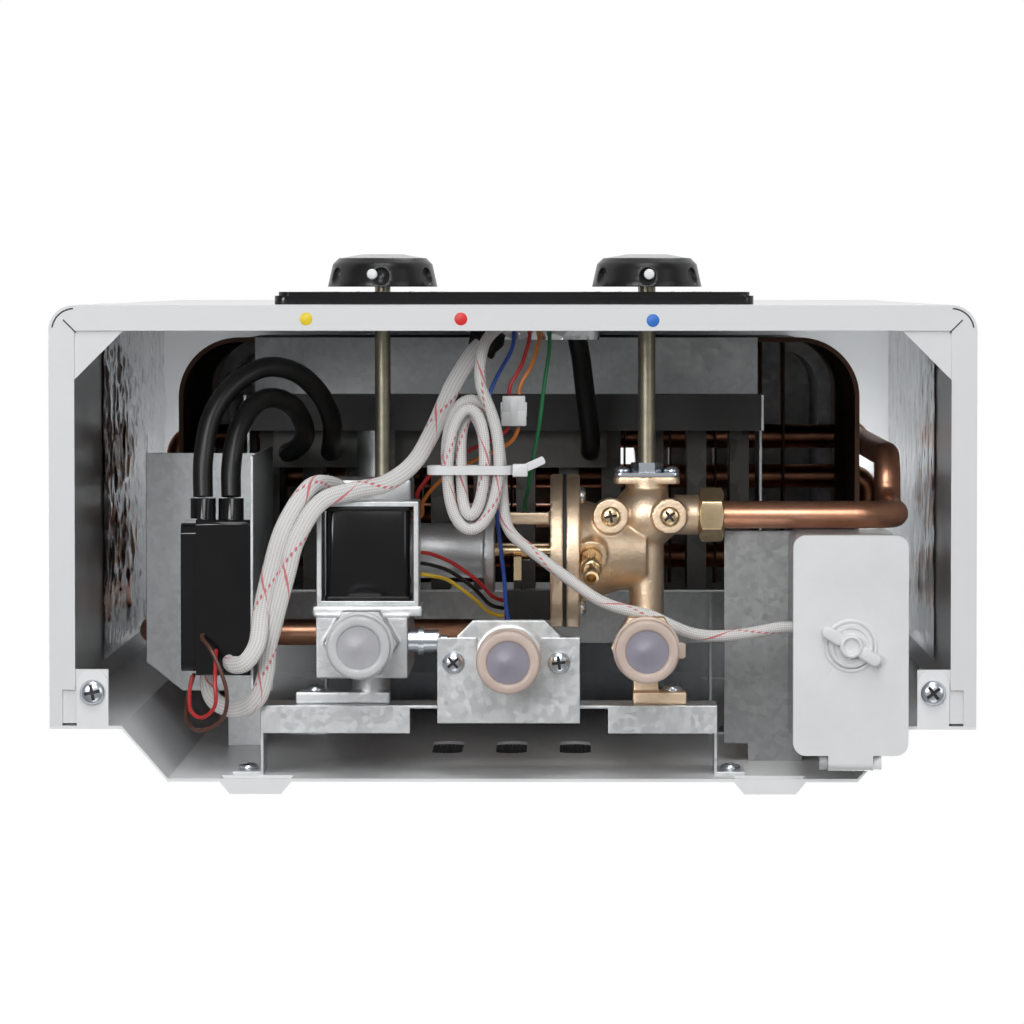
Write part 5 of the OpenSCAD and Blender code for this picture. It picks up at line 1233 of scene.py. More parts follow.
@dataclass
class Wiring:
    """The woven sleeves, ignition leads and signal wires.

    Attributes:
        sleeve_d: Diameter of a woven sleeve.
        lead_d: Diameter of an ignition lead.
        wire_d: Diameter of a signal wire.
        braid_m: Length of one braid repeat.
        flat: Width and thickness of a flattened sleeve, against a round one.
        hank_at: Middle of the hank.
        hank_half: Half width and half length of the outer turn.
        hank_step: Distance between turns.
        hank_span: Start and end of the hank, in turns.
    """

    sleeve_d: float = 4.6
    lead_d: float = 8.0
    wire_d: float = 1.6
    braid_m: float = 0.0014
    flat: tuple[float, float] = (1.5, 0.66)
    hank_at: Point = (-17.0, -127.0, 22.0)
    hank_half: tuple[float, float] = (13.8, 29.0)
    hank_step: float = 6.0
    hank_span: tuple[float, float] = (0.1, 3.3)
    harness_in: tuple[Point, ...] = (
        (-2, -183, 59.1), (-6, -181, 48), (-11, -176, 36), (-13, -168, 27), (-13, -160, 22), (-12, -155, 21.5),
    )
    harness_out: tuple[Point, ...] = (
        (-5, -106, 28), (0, -99, 29), (8, -92.5, 30), (18, -85, 30), (26, -79, 30), (34, -73.5, 30), (44, -70, 30),
        (54, -68, 30), (63, -63.5, 30), (73, -60, 30), (86, -60, 29), (98, -62, 27), (105, -63.5, 26), (109.8, -63.5, 26),
    )
    sleeves: tuple[tuple[Point, ...], ...] = (
        (
            (-7, -179, 58.2), (-15, -172, 50), (-24, -158, 42), (-31, -142, 36), (-39, -128, 30), (-50, -120, 23),
            (-62, -117.5, 16), (-75, -113, 11), (-84, -99, 8), (-88, -85, 8), (-92, -70, 9), (-95.5, -56, 11),
            (-96.5, -46, 12.5), (-100, -36, 13), (-108, -31.5, 18), (-117, -34, 26), (-120, -40, 31), (-120, -44.4, 32),
        ),
        (
            (-68, -114.7, 34), (-70, -119, 29), (-79, -119, 16), (-89, -104, 9), (-94.5, -86, 8), (-98, -70, 8),
            (-99.5, -58, 4), (-104, -51, 2), (-109, -50, 5), (-111, -51, 10), (-111, -51, 14.8),
        ),
    )
    leads: tuple[tuple[Point, ...], ...] = (
        (
            (-122, -114.6, 30), (-122, -130, 32), (-119, -146, 36), (-111, -158, 42), (-99, -165, 50), (-87, -163, 60),
            (-78, -154, 74), (-74, -143, 92), (-75, -134, 115), (-77, -129, 145), (-77.5, -128, 177.7),
        ),
        (
            (-111, -114.6, 30), (-111, -127, 32), (-109, -139, 36), (-104, -149, 43), (-97, -153, 52), (-89, -150, 64),
            (-85, -142, 82), (-86, -135, 105), (-91, -130, 132), (-95, -128, 158), (-95.5, -128, 177.7),
        ),
        (
            (24, -182, 100.6), (24, -181, 108), (25.5, -174, 117), (27, -165, 125), (29, -148, 140), (30.5, -135, 153),
            (30.5, -129, 164),
            (30.5, -128, 177.7),
        ),
    )
    wires: tuple[tuple[Finish, tuple[Point, ...]], ...] = (
        (Paint.RED_WIRE, ((6, -180, 59.4), (6, -176, 54), (3, -166, 48), (-1, -159, 46), (-2, -154.6, 46))),
        (Paint.ORANGE_WIRE, ((10, -180, 59.4), (10, -176, 54), (7, -166, 48), (3, -159, 46), (2, -154.6, 46))),
        (
            Paint.RED_WIRE,
            ((-2, -141.4, 46), (-6, -138, 47), (-18, -132, 52), (-30, -125, 58), (-38, -116, 64), (-39, -110, 68), (-40.4, -107.8, 69.6)),
        ),
        (
            Paint.ORANGE_WIRE,
            ((2, -141.4, 46), (-2, -135, 47), (-16, -128, 52), (-28, -121, 58), (-36, -112, 64), (-37, -106, 68), (-40.4, -103.5, 69.7)),
        ),
        (
            Paint.BLUE_WIRE,
            (
                (0, -180, 59.3), (-1, -172, 52), (-9, -156, 42), (-11, -138, 40), (-8, -118, 42), (-6, -100, 48),
                (-4, -82, 55), (-3, -68, 60), (-1.5, -61, 62), (-1.5, -58.1, 62),
            ),
        ),
        (
            Paint.GREEN_WIRE,
            ((14, -180, 59.3), (14, -172, 53), (12, -158, 50), (10, -142, 54), (7, -126, 62), (5, -114, 72), (4, -110, 78), (4, -107.1, 80)),
        ),
        (Paint.RED_WIRE, ((-4.6, -71, 79), (-9, -73, 74), (-15, -80, 62), (-24, -87, 54), (-32, -91, 46), (-36.3, -92, 42))),
        (Paint.LEAD, ((-4.6, -68, 76), (-10, -70, 70), (-16, -77, 58), (-25, -84, 49), (-32, -87, 41), (-36.3, -88, 37))),
        (Paint.YELLOW_WIRE, ((-4.6, -65, 73), (-10, -67, 66), (-17, -74, 53), (-26, -81, 44), (-32, -83, 36), (-36.3, -84, 32))),
        (
            Paint.RED_WIRE,
            ((-126, -44.5, 24), (-127, -38, 22), (-126, -31, 16), (-121, -29, 10), (-116, -34, 6), (-116, -43, 6), (-116, -52, 10), (-116, -55, 14.4)),
        ),
        (
            Paint.BROWN_WIRE,
            (
                (-126, -44.5, 34), (-128, -36, 30), (-128, -27, 20), (-122, -24, 8), (-113, -29, 2), (-111, -40, -2),
                (-116, -54, 0), (-121, -60, 8), (-121, -61, 14.7),
            ),
        ),
    )

    def hank_point(self, turn: float) -> Vector:
        """Gives a point of the hank.

        Args:
            turn: Position along the hank, in turns.

        Returns:
            The point, in metres in the frame.
        """
        x, y, z = self.hank_at
        start, end = self.hank_span
        mid = (start + end) / 2
        inset = self.hank_step * (mid - start - abs(turn - mid))
        along = -(self.hank_half[1] - inset) * math.cos(2 * math.pi * turn)
        drawn = math.exp(-((along / 14) ** 2))
        across = (self.hank_half[0] - inset - drawn) * math.sin(2 * math.pi * turn)
        return rim(x + across, y + along, z + self.hank_step * eased((turn - mid) * 2 + 0.5))

    def harness_route(self) -> list[Vector]:
        """Gives the long harness's route: from the module, round the hank and on to the battery box."""
        start, end = self.hank_span
        count = round((end - start) * 48)
        hank = [self.hank_point(start + (end - start) * i / count) for i in range(count + 1)]
        route = smooth_route(list(self.harness_in), 8)[:-1] + hank + smooth_route(list(self.harness_out), 8)[1:]
        for _ in range(14):
            eased_points = [(a + 2 * b + c) / 4 for a, b, c in zip(route, route[1:], route[2:])]
            route = [route[0], *eased_points, route[-1]]
        return route

    def press(self, ring: list[bmesh.types.BMVert], middle: Vector, way: Vector) -> None:
        """Flattens one ring of a sleeve, most where the sleeve lies level.

        Args:
            ring: The ring's points.
            middle: Middle of the ring.
            way: Direction of the sleeve there.
        """
        side = way.cross(UP)
        level = min(1.0, 1.4 * side.length)
        side.normalize()
        lift = way.cross(side).normalized()
        for vert in ring:
            off = vert.co - middle
            vert.co += side * off.dot(side) * (self.flat[0] - 1) * level
            vert.co += lift * off.dot(lift) * (self.flat[1] - 1) * level

    def tube(self, route: list[Vector], diameter: float, facets: int = 14, pressed: bool = False) -> bpy.types.Mesh:
        """Sweeps a round or flattened section along a route, with coordinates round and along it.

        Args:
            route: Points of the route.
            diameter: Diameter of the tube.
            facets: Facets round the section.
            pressed: Whether the section is flattened.

        Returns:
            The mesh.
        """
        bm = bmesh.new()
        ends = [route[0], *route, route[-1]]
        ways = [(after - before).normalized() for before, after in zip(ends, ends[2:])]
        start = Matrix.Translation(route[0]) @ UP.rotation_difference(ways[0]).to_matrix().to_4x4()
        ring = bmesh.ops.create_circle(bm, segments=facets, radius=diameter / 2 * MM, matrix=start)["verts"]
        marks = {vert: (index, 0.0) for index, vert in enumerate(ring)}
        edges = list({edge for vert in ring for edge in vert.link_edges})
        caps = [edges]
        rings = [(ring, route[0], ways[0])]
        along = 0.0
        for here, there, was, now in zip(route, route[1:], ways, ways[1:]):
            along += (there - here).length
            grown = set(bmesh.ops.extrude_edge_only(bm, edges=edges)["geom"])
            ring = [g for g in grown if isinstance(g, bmesh.types.BMVert)]
            edges = [g for g in grown if isinstance(g, bmesh.types.BMEdge) and set(g.verts) <= grown]
            fresh = {}
            for vert in ring:
                old = next(e.other_vert(vert) for e in vert.link_edges if e.other_vert(vert) in marks)
                fresh[vert] = (marks[old][0], along)
            marks.update(fresh)
            bend = was.rotation_difference(now).to_matrix().to_4x4()
            move = Matrix.Translation(there) @ bend @ Matrix.Translation(-here)
            bmesh.ops.transform(bm, matrix=move, verts=ring)
            rings.append((ring, there, now))
        caps.append(edges)
        if pressed:
            for ring, middle, way in rings:
                self.press(ring, middle, way)
        layer = bm.loops.layers.uv.new("UVMap")
        for face in bm.faces:
            seam = {marks[vert][0] for vert in face.verts} == {0, facets - 1}
            for loop in face.loops:
                index, length = marks[loop.vert]
                round_at = facets if seam and index == 0 else index
                loop[layer].uv = (round_at / facets, length / self.braid_m)
        for cap in caps:
            bmesh.ops.edgeloop_fill(bm, edges=cap)
        bmesh.ops.recalc_face_normals(bm, faces=bm.faces[:])
        mesh = bpy.data.meshes.new("tube")
        bm.to_mesh(mesh)
        bm.free()
        return mesh

    def build_sleeves(self) -> None:
        """Builds the harness with its hank and the two sleeved leads at the left."""
        route = self.harness_route()
        harness = settle_piece(
            self.tube(route, self.sleeve_d), "harness_sleeve", [Paint.SLEEVE], Body.HEATER, ("harness_hank",)
        )
        for index, points in enumerate(self.sleeves):
            path = smooth_route(list(points), 8)
            stands = ("sleeved_leads",) if index == 0 else ()
            lead = settle_piece(
                self.tube(path, self.sleeve_d, 18, True), f"lead_sleeve_{index}", [Paint.SLEEVE], Body.HEATER, stands
            )

    def build_leads(self) -> None:
        """Builds the thick ignition leads."""
        for index, points in enumerate(self.leads):
            path = smooth_route(list(points), 10)
            stands = ("ignition_leads",) if index == 0 else ()
            lead = settle_piece(
                self.tube(path, self.lead_d), f"ignition_lead_{index}", [Paint.LEAD], Body.HEATER, stands
            )

    def build_wires(self) -> None:
        """Builds the thin signal wires, each in its own colour."""
        finishes = list(dict.fromkeys(finish for finish, _ in self.wires))
        for number, (finish, points) in enumerate(self.wires):
            path = smooth_route(list(points), 8)
            stands = ("signal_wires",) if number == 0 else ()
            wire = settle_piece(
                self.tube(path, self.wire_d, 8), f"signal_wire_{number}", [finish], Body.HEATER, stands
            )
        LOG.info("wires in %d colours", len(finishes))

    def build(self) -> None:
        """Builds all the wiring."""
        self.build_sleeves()
        self.build_leads()
        self.build_wires()


@dataclass
class Casing:
    """The painted cover with its lip marks, foil liners and front print.

    Attributes:
        half_w: Half the width of the casing.
        front_y: Front of the casing.
        lip_w: Width of the lip round the open bottom; not used.
        liner_y: Front and rear edge of a foil liner.
        liner_z: Lower and upper edge of a foil liner.
        wall_x: Inner face of the liners' backing.
        crinkle: How far the left and the right foil stand off their backing.
        dot_d: Diameter of a coloured port mark.
        dots: Middle of each port mark and its finish.
    """

    half_w: float = 180.0
    front_y: float = -190.0
    lip_w: float = 10.0
    liner_y: tuple[float, float] = (-179.0, -36.5)
    liner_z: tuple[float, float] = (235.0, 590.0)
    wall_x: float = 178.9
    crinkle: tuple[float, float] = (1.9, 0.8)
    dot_d: float = 5.0
    dots: tuple[tuple[float, float, Finish], ...] = (
        (-80.0, -184.6, Paint.YELLOW_DOT),
        (-20.0, -184.6, Paint.RED_DOT),
        (54.4, -184.0, Paint.BLUE_DOT),
    )

    def build_liners(self) -> None:
        """Builds the two crinkled sheets of foil."""
        shaper = Shaper()
        low_y, high_y = self.liner_y
        low_z, high_z = self.liner_z
        for side, crinkle in zip((-1, 1), self.crinkle):
            before = set(shaper.bm.verts)
            bmesh.ops.create_grid(shaper.bm, x_segments=72, y_segments=130, size=0.5)
            sheet = [v for v in shaper.bm.verts if v not in before]
            for vert in sheet:
                y = low_y + (vert.co.x + 0.5) * (high_y - low_y)
                z = low_z + (vert.co.y + 0.5) * (high_z - low_z)
                spot = Vector((y * 0.045, z * 0.045, side * 7.0))
                fold = abs(noise.noise(spot)) + 0.5 * abs(noise.noise(spot * 2.3)) + 0.25 * noise.noise(spot * 5.1)
                edge = min(1.0, (y - low_y) / 5, (high_y - y) / 5, (z - low_z) / 5)
                rise = crinkle * min(1.0, max(0.0, fold)) * max(0.15, edge)
                vert.co = rim(side * (self.wall_x - 0.5 - rise), y, z)
        shaper.piece("crinkled_liners", [Paint.FOIL], Body.HEATER, ("foil_liners",), "foil")

    def build_marks(self) -> None:
        """Builds the port marks and the seams of the lip's front corners."""
        shaper = Shaper()
        for index, (x, y, _) in enumerate(self.dots):
            place = seated(rim(x, y, 0), DOWN)
            radius = self.dot_d / 2
            shaper.lathe([(0, 0), (radius, 0), (radius, 0.08), (radius - 0.1, 0.14), (0, 0.15)], place, 32, index)
        shaper.piece("port_marks", [finish for _, _, finish in self.dots], Body.HEATER)
        seams = Shaper()
        for side in (-1, 1):
            turn = Matrix.Rotation(math.radians(45 * side), 4, "Z")
            mid = rim(side * (self.half_w - 8.2), self.front_y + 8.2, -0.02)
            seams.block((0.5, 7.0, 0.1), Matrix.Translation(mid) @ turn @ Matrix.Scale(MM, 4))
            for step in range(9):
                angle = math.radians(8 + step * 8.5)
                spot = rim(
                    side * (self.half_w - 10 + 8.6 * math.sin(angle)), self.front_y + 10 - 8.6 * math.cos(angle), -0.02
                )
                lean = Matrix.Rotation(side * (angle - math.pi / 2), 4, "Z")
                seams.block((0.55, 1.7, 0.1), Matrix.Translation(spot) @ lean @ Matrix.Scale(MM, 4))
        seams.piece("lip_seams", [Paint.SHADOW], Body.HEATER)

    def build_print(self) -> None:
        """Builds the plain scale marks round the knobs, the pointer on each knob and a painted highlight: a small white
        bead under each knob's rim.
        """
        ticks = Shaper()
        for x in (-53.0, 53.0):
            for step in range(11):
                angle = math.radians(-125 + step * 25)
                reach = 25.4
                spot = rim(x + reach * math.sin(angle), -195.05, 80 + reach * math.cos(angle))
                turn = Matrix.Rotation(angle, 4, "Y")
                ticks.block((0.7, 0.12, 2.2 if step % 5 else 3.2), Matrix.Translation(spot) @ turn @ Matrix.Scale(MM, 4), 0.03)
        ticks.piece("scale_marks", [Paint.PRINT], Body.HEATER)
        for name, x, highlight_x, body in (
            ("gas", -53.0, -56.5, Body.GAS_KNOB),
            ("water", 53.0, 53.7, Body.WATER_KNOB),
        ):
            pointer = Shaper()
            pointer.tablet((1.6, 5.0, 0.3), seated(rim(x, -208.6, 96.0), TO_ROOM), 0.75, 0.08)
            pointer.piece(name + "_pointer", [Paint.PRINT], body)
            # Painted highlight: the white bead under each knob's rim stands for a glint of light on the knob's
            # underside.
            bead = Shaper()
            profile = [(0, 0.5), (1.1, 0.42), (1.8, 0.2), (2.1, -0.3), (0, -0.3)]
            bead.lathe(profile, seated(rim(highlight_x, -202.0, 58.15), DOWN), 24)
            bead.piece(name + "_knob_highlight", [Paint.PRINT], body)

    def build(self) -> None:
        """Builds the casing's pieces."""
        self.build_liners()
        self.build_marks()
        self.build_print()


@dataclass
class Solenoid:
    """The tape-wrapped coil of the gas solenoid.

    Attributes:
        low: Lowest corner of the coil.
        high: Highest corner of the coil.
        cheek_t: Thickness of the bobbin's cheeks.
        slack: How far the wrapping lies inside the cheeks.
    """

    low: Point = (-74.0, -111.0, 21.0)
    high: Point = (-40.0, -74.0, 49.0)
    cheek_t: float = 1.8
    slack: float = 0.6

    def build(self) -> None:
        """Builds the coil with its cheeks and its wrapping."""
        middle = [(a + b) / 2 for a, b in zip(self.low, self.high)]
        width, depth, height = (b - a for a, b in zip(self.low, self.high))
        turned = Matrix.Rotation(math.pi / 2, 4, "X")
        shaper = Shaper()
        for side in (-1, 1):
            spot = rim(middle[0], middle[1] + side * (depth - self.cheek_t) / 2, middle[2])
            place = Matrix.Translation(spot) @ turned @ Matrix.Scale(MM, 4)
            shaper.tablet((width, height, self.cheek_t), place, 2.0, 0.4, 0)
        place = Matrix.Translation(rim(*middle)) @ turned @ Matrix.Scale(MM, 4)
        wrap = (width - 2 * self.slack, height - 2 * self.slack, depth - 2 * self.cheek_t + 0.1)
        shaper.tablet(wrap, place, 3.0, 0.2, 1)
        shaper.piece("wrapped_coil", [Paint.BLACK, Paint.GLOSS], Body.HEATER, ("solenoid_coil",), "black_plastic")


@dataclass
class BatteryLock:
    """The lock of the battery lid, with the raised ring that it turns in.

    Attributes:
        x: Position of the lock.
        y: Position of the lock.
        face_z: Outer face of the lid.
        ring_d: Diameter of the lock's ring.
        hub_d: Diameter of its hub.
        height: How far it stands out.
        span: Length over its two wings.
        wing_w: Width of a wing.
        turn: Turn of the wings, in degrees.
        shaft_d: Diameter of its shaft.
        bar: Size of the bar behind the bridge.
        bar_z: Middle of that bar.
    """

    x: float = 131.0
    y: float = -58.3
    face_z: float = -7.0
    ring_d: float = 17.0
    hub_d: float = 9.0
    height: float = 6.0
    span: float = 26.0
    wing_w: float = 5.0
    turn: float = 30.0
    shaft_d: float = 6.0
    bar: Point = (4.0, 14.0, 2.0)
    bar_z: float = 6.3

    def build_ring(self) -> None:
        """Builds the raised ring on the lid."""
        r = self.ring_d / 2
        profile = [(r + 2.0, -0.3), (r + 1.9, 0.3), (r + 1.5, 0.6), (r + 0.9, 0.6), (r + 0.5, 0.3), (r + 0.4, -0.3)]
        shaper = Shaper()
        shaper.lathe(profile + profile[:1], seated(rim(self.x, self.y, self.face_z), DOWN), 64)
        shaper.piece("lid_ring", [Paint.MILK], Body.BATTERY_LID, (), "white_plastic")

    def build(self) -> None:
        """Builds the ring and the lock: a dished disc, a hollowed hub, two leaf wings, a shaft and a bar."""
        self.build_ring()
        place = seated(rim(self.x, self.y, self.face_z), DOWN)
        r, hub, tall, shaft = self.ring_d / 2, self.hub_d / 2, self.height, self.shaft_d / 2
        deep = self.face_z - self.bar_z
        profile = [(0, deep - 0.9), (shaft - 0.3, deep - 0.9), (shaft, deep - 0.6), (shaft, 0.05), (r - 0.4, 0.05)]
        profile += [(r, 0.5), (r, 1.6), (r - 0.4, 2.0), (r - 1.5, 2.0), (r - 2.0, 1.5), (hub + 0.4, 1.4), (hub, 1.7)]
        profile += [(hub, tall - 0.8), (hub - 0.3, tall - 0.2), (hub - 0.9, tall), (hub - 1.5, tall - 0.3)]
        profile += [(hub - 1.9, tall - 1.1), (0, tall - 1.5)]
        shaper = Shaper()
        shaper.lathe(profile, place, 56)
        lean = Matrix.Rotation(math.radians(self.turn), 4, "Z")
        reach = self.span / 2 - hub + 1.4
        for side in (-1, 1):
            out = lean @ Vector((side * (self.span / 2 - reach / 2), 0, 0))
            spot = rim(self.x + out.x, self.y + out.y, self.face_z - tall / 2 - 0.4)
            wing = Matrix.Translation(spot) @ lean @ Matrix.Scale(MM, 4)
            shaper.tablet((reach, self.wing_w, tall - 2.2), wing, self.wing_w / 2 - 0.2, 1.1)
        shaper.tablet(self.bar, Matrix.Translation(rim(self.x, self.y, self.bar_z)) @ Matrix.Scale(MM, 4), 0.8, 0.3)
        shaper.piece("lid_lock", [Paint.MILK], Body.BATTERY_LOCK, ("battery_lock",), "white_plastic")


@dataclass
class Ties:
    """The cable tie round the hank and the white in-line connector.

    Attributes:
        middle: Middle of the strap's loop.
        half: Half width and half height of the loop's inside.
        strap_w: Width of the strap.
        strap_t: Thickness of the strap.
        plug_at: Middle of the connector.
        plug: Size of the connector.
    """

    middle: Point = (-17.0, -125.25, 25.0)
    half: tuple[float, float] = (15.5, 5.7)
    strap_w: float = 3.5
    strap_t: float = 1.2
    plug_at: Point = (0.0, -148.0, 46.0)
    plug: Point = (10.0, 12.0, 8.0)

    def build_strap(self, shaper: Shaper) -> None:
        """Adds the strap's loop with its ratchet head and tail.

        Args:
            shaper: Mesh that the strap is added to.
        """
        before = set(shaper.bm.verts)
        x, y, z = self.middle
        round_r = 4.0
        loop = []
        corners = ((1, 1, 0), (-1, 1, 90), (-1, -1, 180), (1, -1, 270))
        for side, level, start in corners:
            for step in range(7):
                angle = math.radians(start + step * 15)
                loop.append((
                    x + side * (self.half[0] - round_r) + round_r * math.cos(angle),
                    z + level * (self.half[1] - round_r) + round_r * math.sin(angle),
                ))
        ring = [shaper.bm.verts.new(rim(px, y - self.strap_w / 2, pz)) for px, pz in loop]
        edges = [shaper.bm.edges.new((a, b)) for a, b in zip(ring, ring[1:] + ring[:1])]
        swept = bmesh.ops.extrude_edge_only(shaper.bm, edges=edges)["geom"]
        moved = [g for g in swept if isinstance(g, bmesh.types.BMVert)]
        bmesh.ops.translate(shaper.bm, vec=(0, self.strap_w * MM, 0), verts=moved)
        faces = list({f for v in shaper.bm.verts if v not in before for f in v.link_faces})
        bmesh.ops.recalc_face_normals(shaper.bm, faces=faces)
        bmesh.ops.solidify(shaper.bm, geom=faces, thickness=-self.strap_t * MM)
        head = rim(x + self.half[0] + self.strap_t + 3.0, y, z - self.half[1] + 2.5)
        shaper.block((6, 5, 5), Matrix.Translation(head) @ Matrix.Scale(MM, 4), 0.6, 2)
        tail = Matrix.Translation(head + Vector((5.5, -2.4, -0.4)) * MM) @ Matrix.Rotation(math.radians(-24), 4, "Z")
        shaper.tablet((9, 3.2, 1.1), tail @ Matrix.Scale(MM, 4), 1.0, 0.2)

    def build_plug(self, shaper: Shaper) -> None:
        """Adds the connector: two mated shells, a latch and ribs.

        Args:
            shaper: Mesh that the connector is added to.
        """
        x, y, z = self.plug_at
        w, length, h = self.plug
        scale = Matrix.Scale(MM, 4)
        shaper.block((w - 1, length * 0.55, h - 1), Matrix.Translation(rim(x, y - length * 0.22, z)) @ scale, 0.4)
        shaper.block((w, length * 0.5, h), Matrix.Translation(rim(x, y + length * 0.25, z)) @ scale, 0.5)
        shaper.block((3, length * 0.7, 0.8), Matrix.Translation(rim(x, y, z - h / 2 + 0.2)) @ scale, 0.2)
        for side in (-1, 1):
            shaper.block((0.8, length * 0.48, h - 2), Matrix.Translation(rim(x + side * (w / 2 - 0.2), y - 0.5, z)) @ scale, 0.2)

    def build_dark_plug(self) -> None:
        """Builds the black plug that the sleeved leads leave the module through."""
        place = seated(rim(-10.4, -176.0, 54.6), Vector((-8.0, 7.0, -8.2)).normalized(), math.radians(25))
        shaper = Shaper()
        shaper.block((10.5, 6.6, 9.0), place, 0.6)
        shaper.block((12.0, 7.6, 2.4), place @ Matrix.Translation((0, 0, 3.4)), 0.5)
        shaper.block((3.2, 8.4, 6.0), place @ Matrix.Translation((0, 0, -0.6)), 0.4)
        shaper.piece("module_plug", [Paint.BLACK], Body.HEATER, (), "black_plastic")

    def build(self) -> None:
        """Builds the tie and the connectors."""
        shaper = Shaper()
        self.build_strap(shaper)
        self.build_plug(shaper)
        shaper.piece("tie_and_connector", [Paint.MILK], Body.HEATER, ("harness_clips",), "white_plastic")
        self.build_dark_plug()


@dataclass
class AirWays:
    """The dark wire screen behind the rear panel's air slots, as painted shade that darkens what shows through them,
    and the baffle under the flue.

    Attributes:
        screen_x: Left and right edge of the screen.
        screen_z: Lower and upper edge of the screen.
        upright_y: Position of the upright wires, against the panel.
        level_y: Position of the level wires, behind them.
        frame_y: Position of the frame that holds the wires' ends.
        wire_d: Thickness of a wire.
        pitch: Distance between wires.
        baffle: Width, depth and thickness of the baffle.
        baffle_at: Middle of the baffle.
        lip: Depth of its folded edges.
        leg: Width and thickness of its legs.
        leg_at: Position of a leg, right of the middle and from the wall.
        roof_z: Height of the hood's roof.
    """

    screen_x: tuple[float, float] = (-37.0, 33.0)
    screen_z: tuple[float, float] = (115.0, 185.0)
    upright_y: float = -4.55
    level_y: float = -4.1
    frame_y: float = -3.6
    wire_d: float = 0.5
    pitch: float = 1.6
    baffle: Point = (124.0, 57.0, 1.0)
    baffle_at: Point = (0.0, -78.5, 558.0)
    lip: float = 9.0
    leg: tuple[float, float] = (9.0, 1.0)
    leg_at: tuple[float, float] = (50.0, -57.0)
    roof_z: float = 575.2

    def build_screen(self) -> None:
        """Builds the screen of crossed dark wires: painted shade behind the air slots."""
        shaper = Shaper()
        (left, right), (low, high) = self.screen_x, self.screen_z
        scale = Matrix.Scale(MM, 4)
        for step in range(round((right - left) / self.pitch) + 1):
            spot = rim(left + step * self.pitch, self.upright_y, (low + high) / 2)
            shaper.block((self.wire_d, self.wire_d, high - low), Matrix.Translation(spot) @ scale)
        for step in range(round((high - low) / self.pitch) + 1):
            spot = rim((left + right) / 2, self.level_y, low + step * self.pitch)
            shaper.block((right - left, self.wire_d, self.wire_d), Matrix.Translation(spot) @ scale)
        for x in self.screen_x:
            spot = rim(x, self.frame_y, (low + high) / 2)
            shaper.block((4.0, 0.6, high - low + 4.0), Matrix.Translation(spot) @ scale, 0.15, 1, 1)
        for z in self.screen_z:
            spot = rim((left + right) / 2, self.frame_y, z)
            shaper.block((right - left, 0.6, 4.0), Matrix.Translation(spot) @ scale, 0.15, 1, 1)
        shaper.piece("slot_shade_screen", [Paint.BLACK_STEEL, Paint.GALV], Body.HEATER)

    def build_baffle(self) -> None:
        """Builds the baffle that hangs from the hood's roof, with two folded edges."""
        shaper = Shaper()
        x, y, z = self.baffle_at
        width, depth, thick = self.baffle
        scale = Matrix.Scale(MM, 4)
        shaper.block(self.baffle, Matrix.Translation(rim(x, y, z)) @ scale, 0.3)
        for side in (-1, 1):
            edge = rim(x, y + side * (depth - thick) / 2, z + (self.lip - thick) / 2)
            shaper.block((width, thick, self.lip), Matrix.Translation(edge) @ scale, 0.3)
            leg = rim(side * self.leg_at[0], self.leg_at[1], (z + self.roof_z) / 2)
            shaper.block((*self.leg, self.roof_z - z), Matrix.Translation(leg) @ scale, 0.2)
        shaper.piece("flue_baffle", [Paint.SHADED_ZINC], Body.HEATER)

    def build(self) -> None:
        """Builds the screen and the baffle."""
        self.build_screen()
        self.build_baffle()


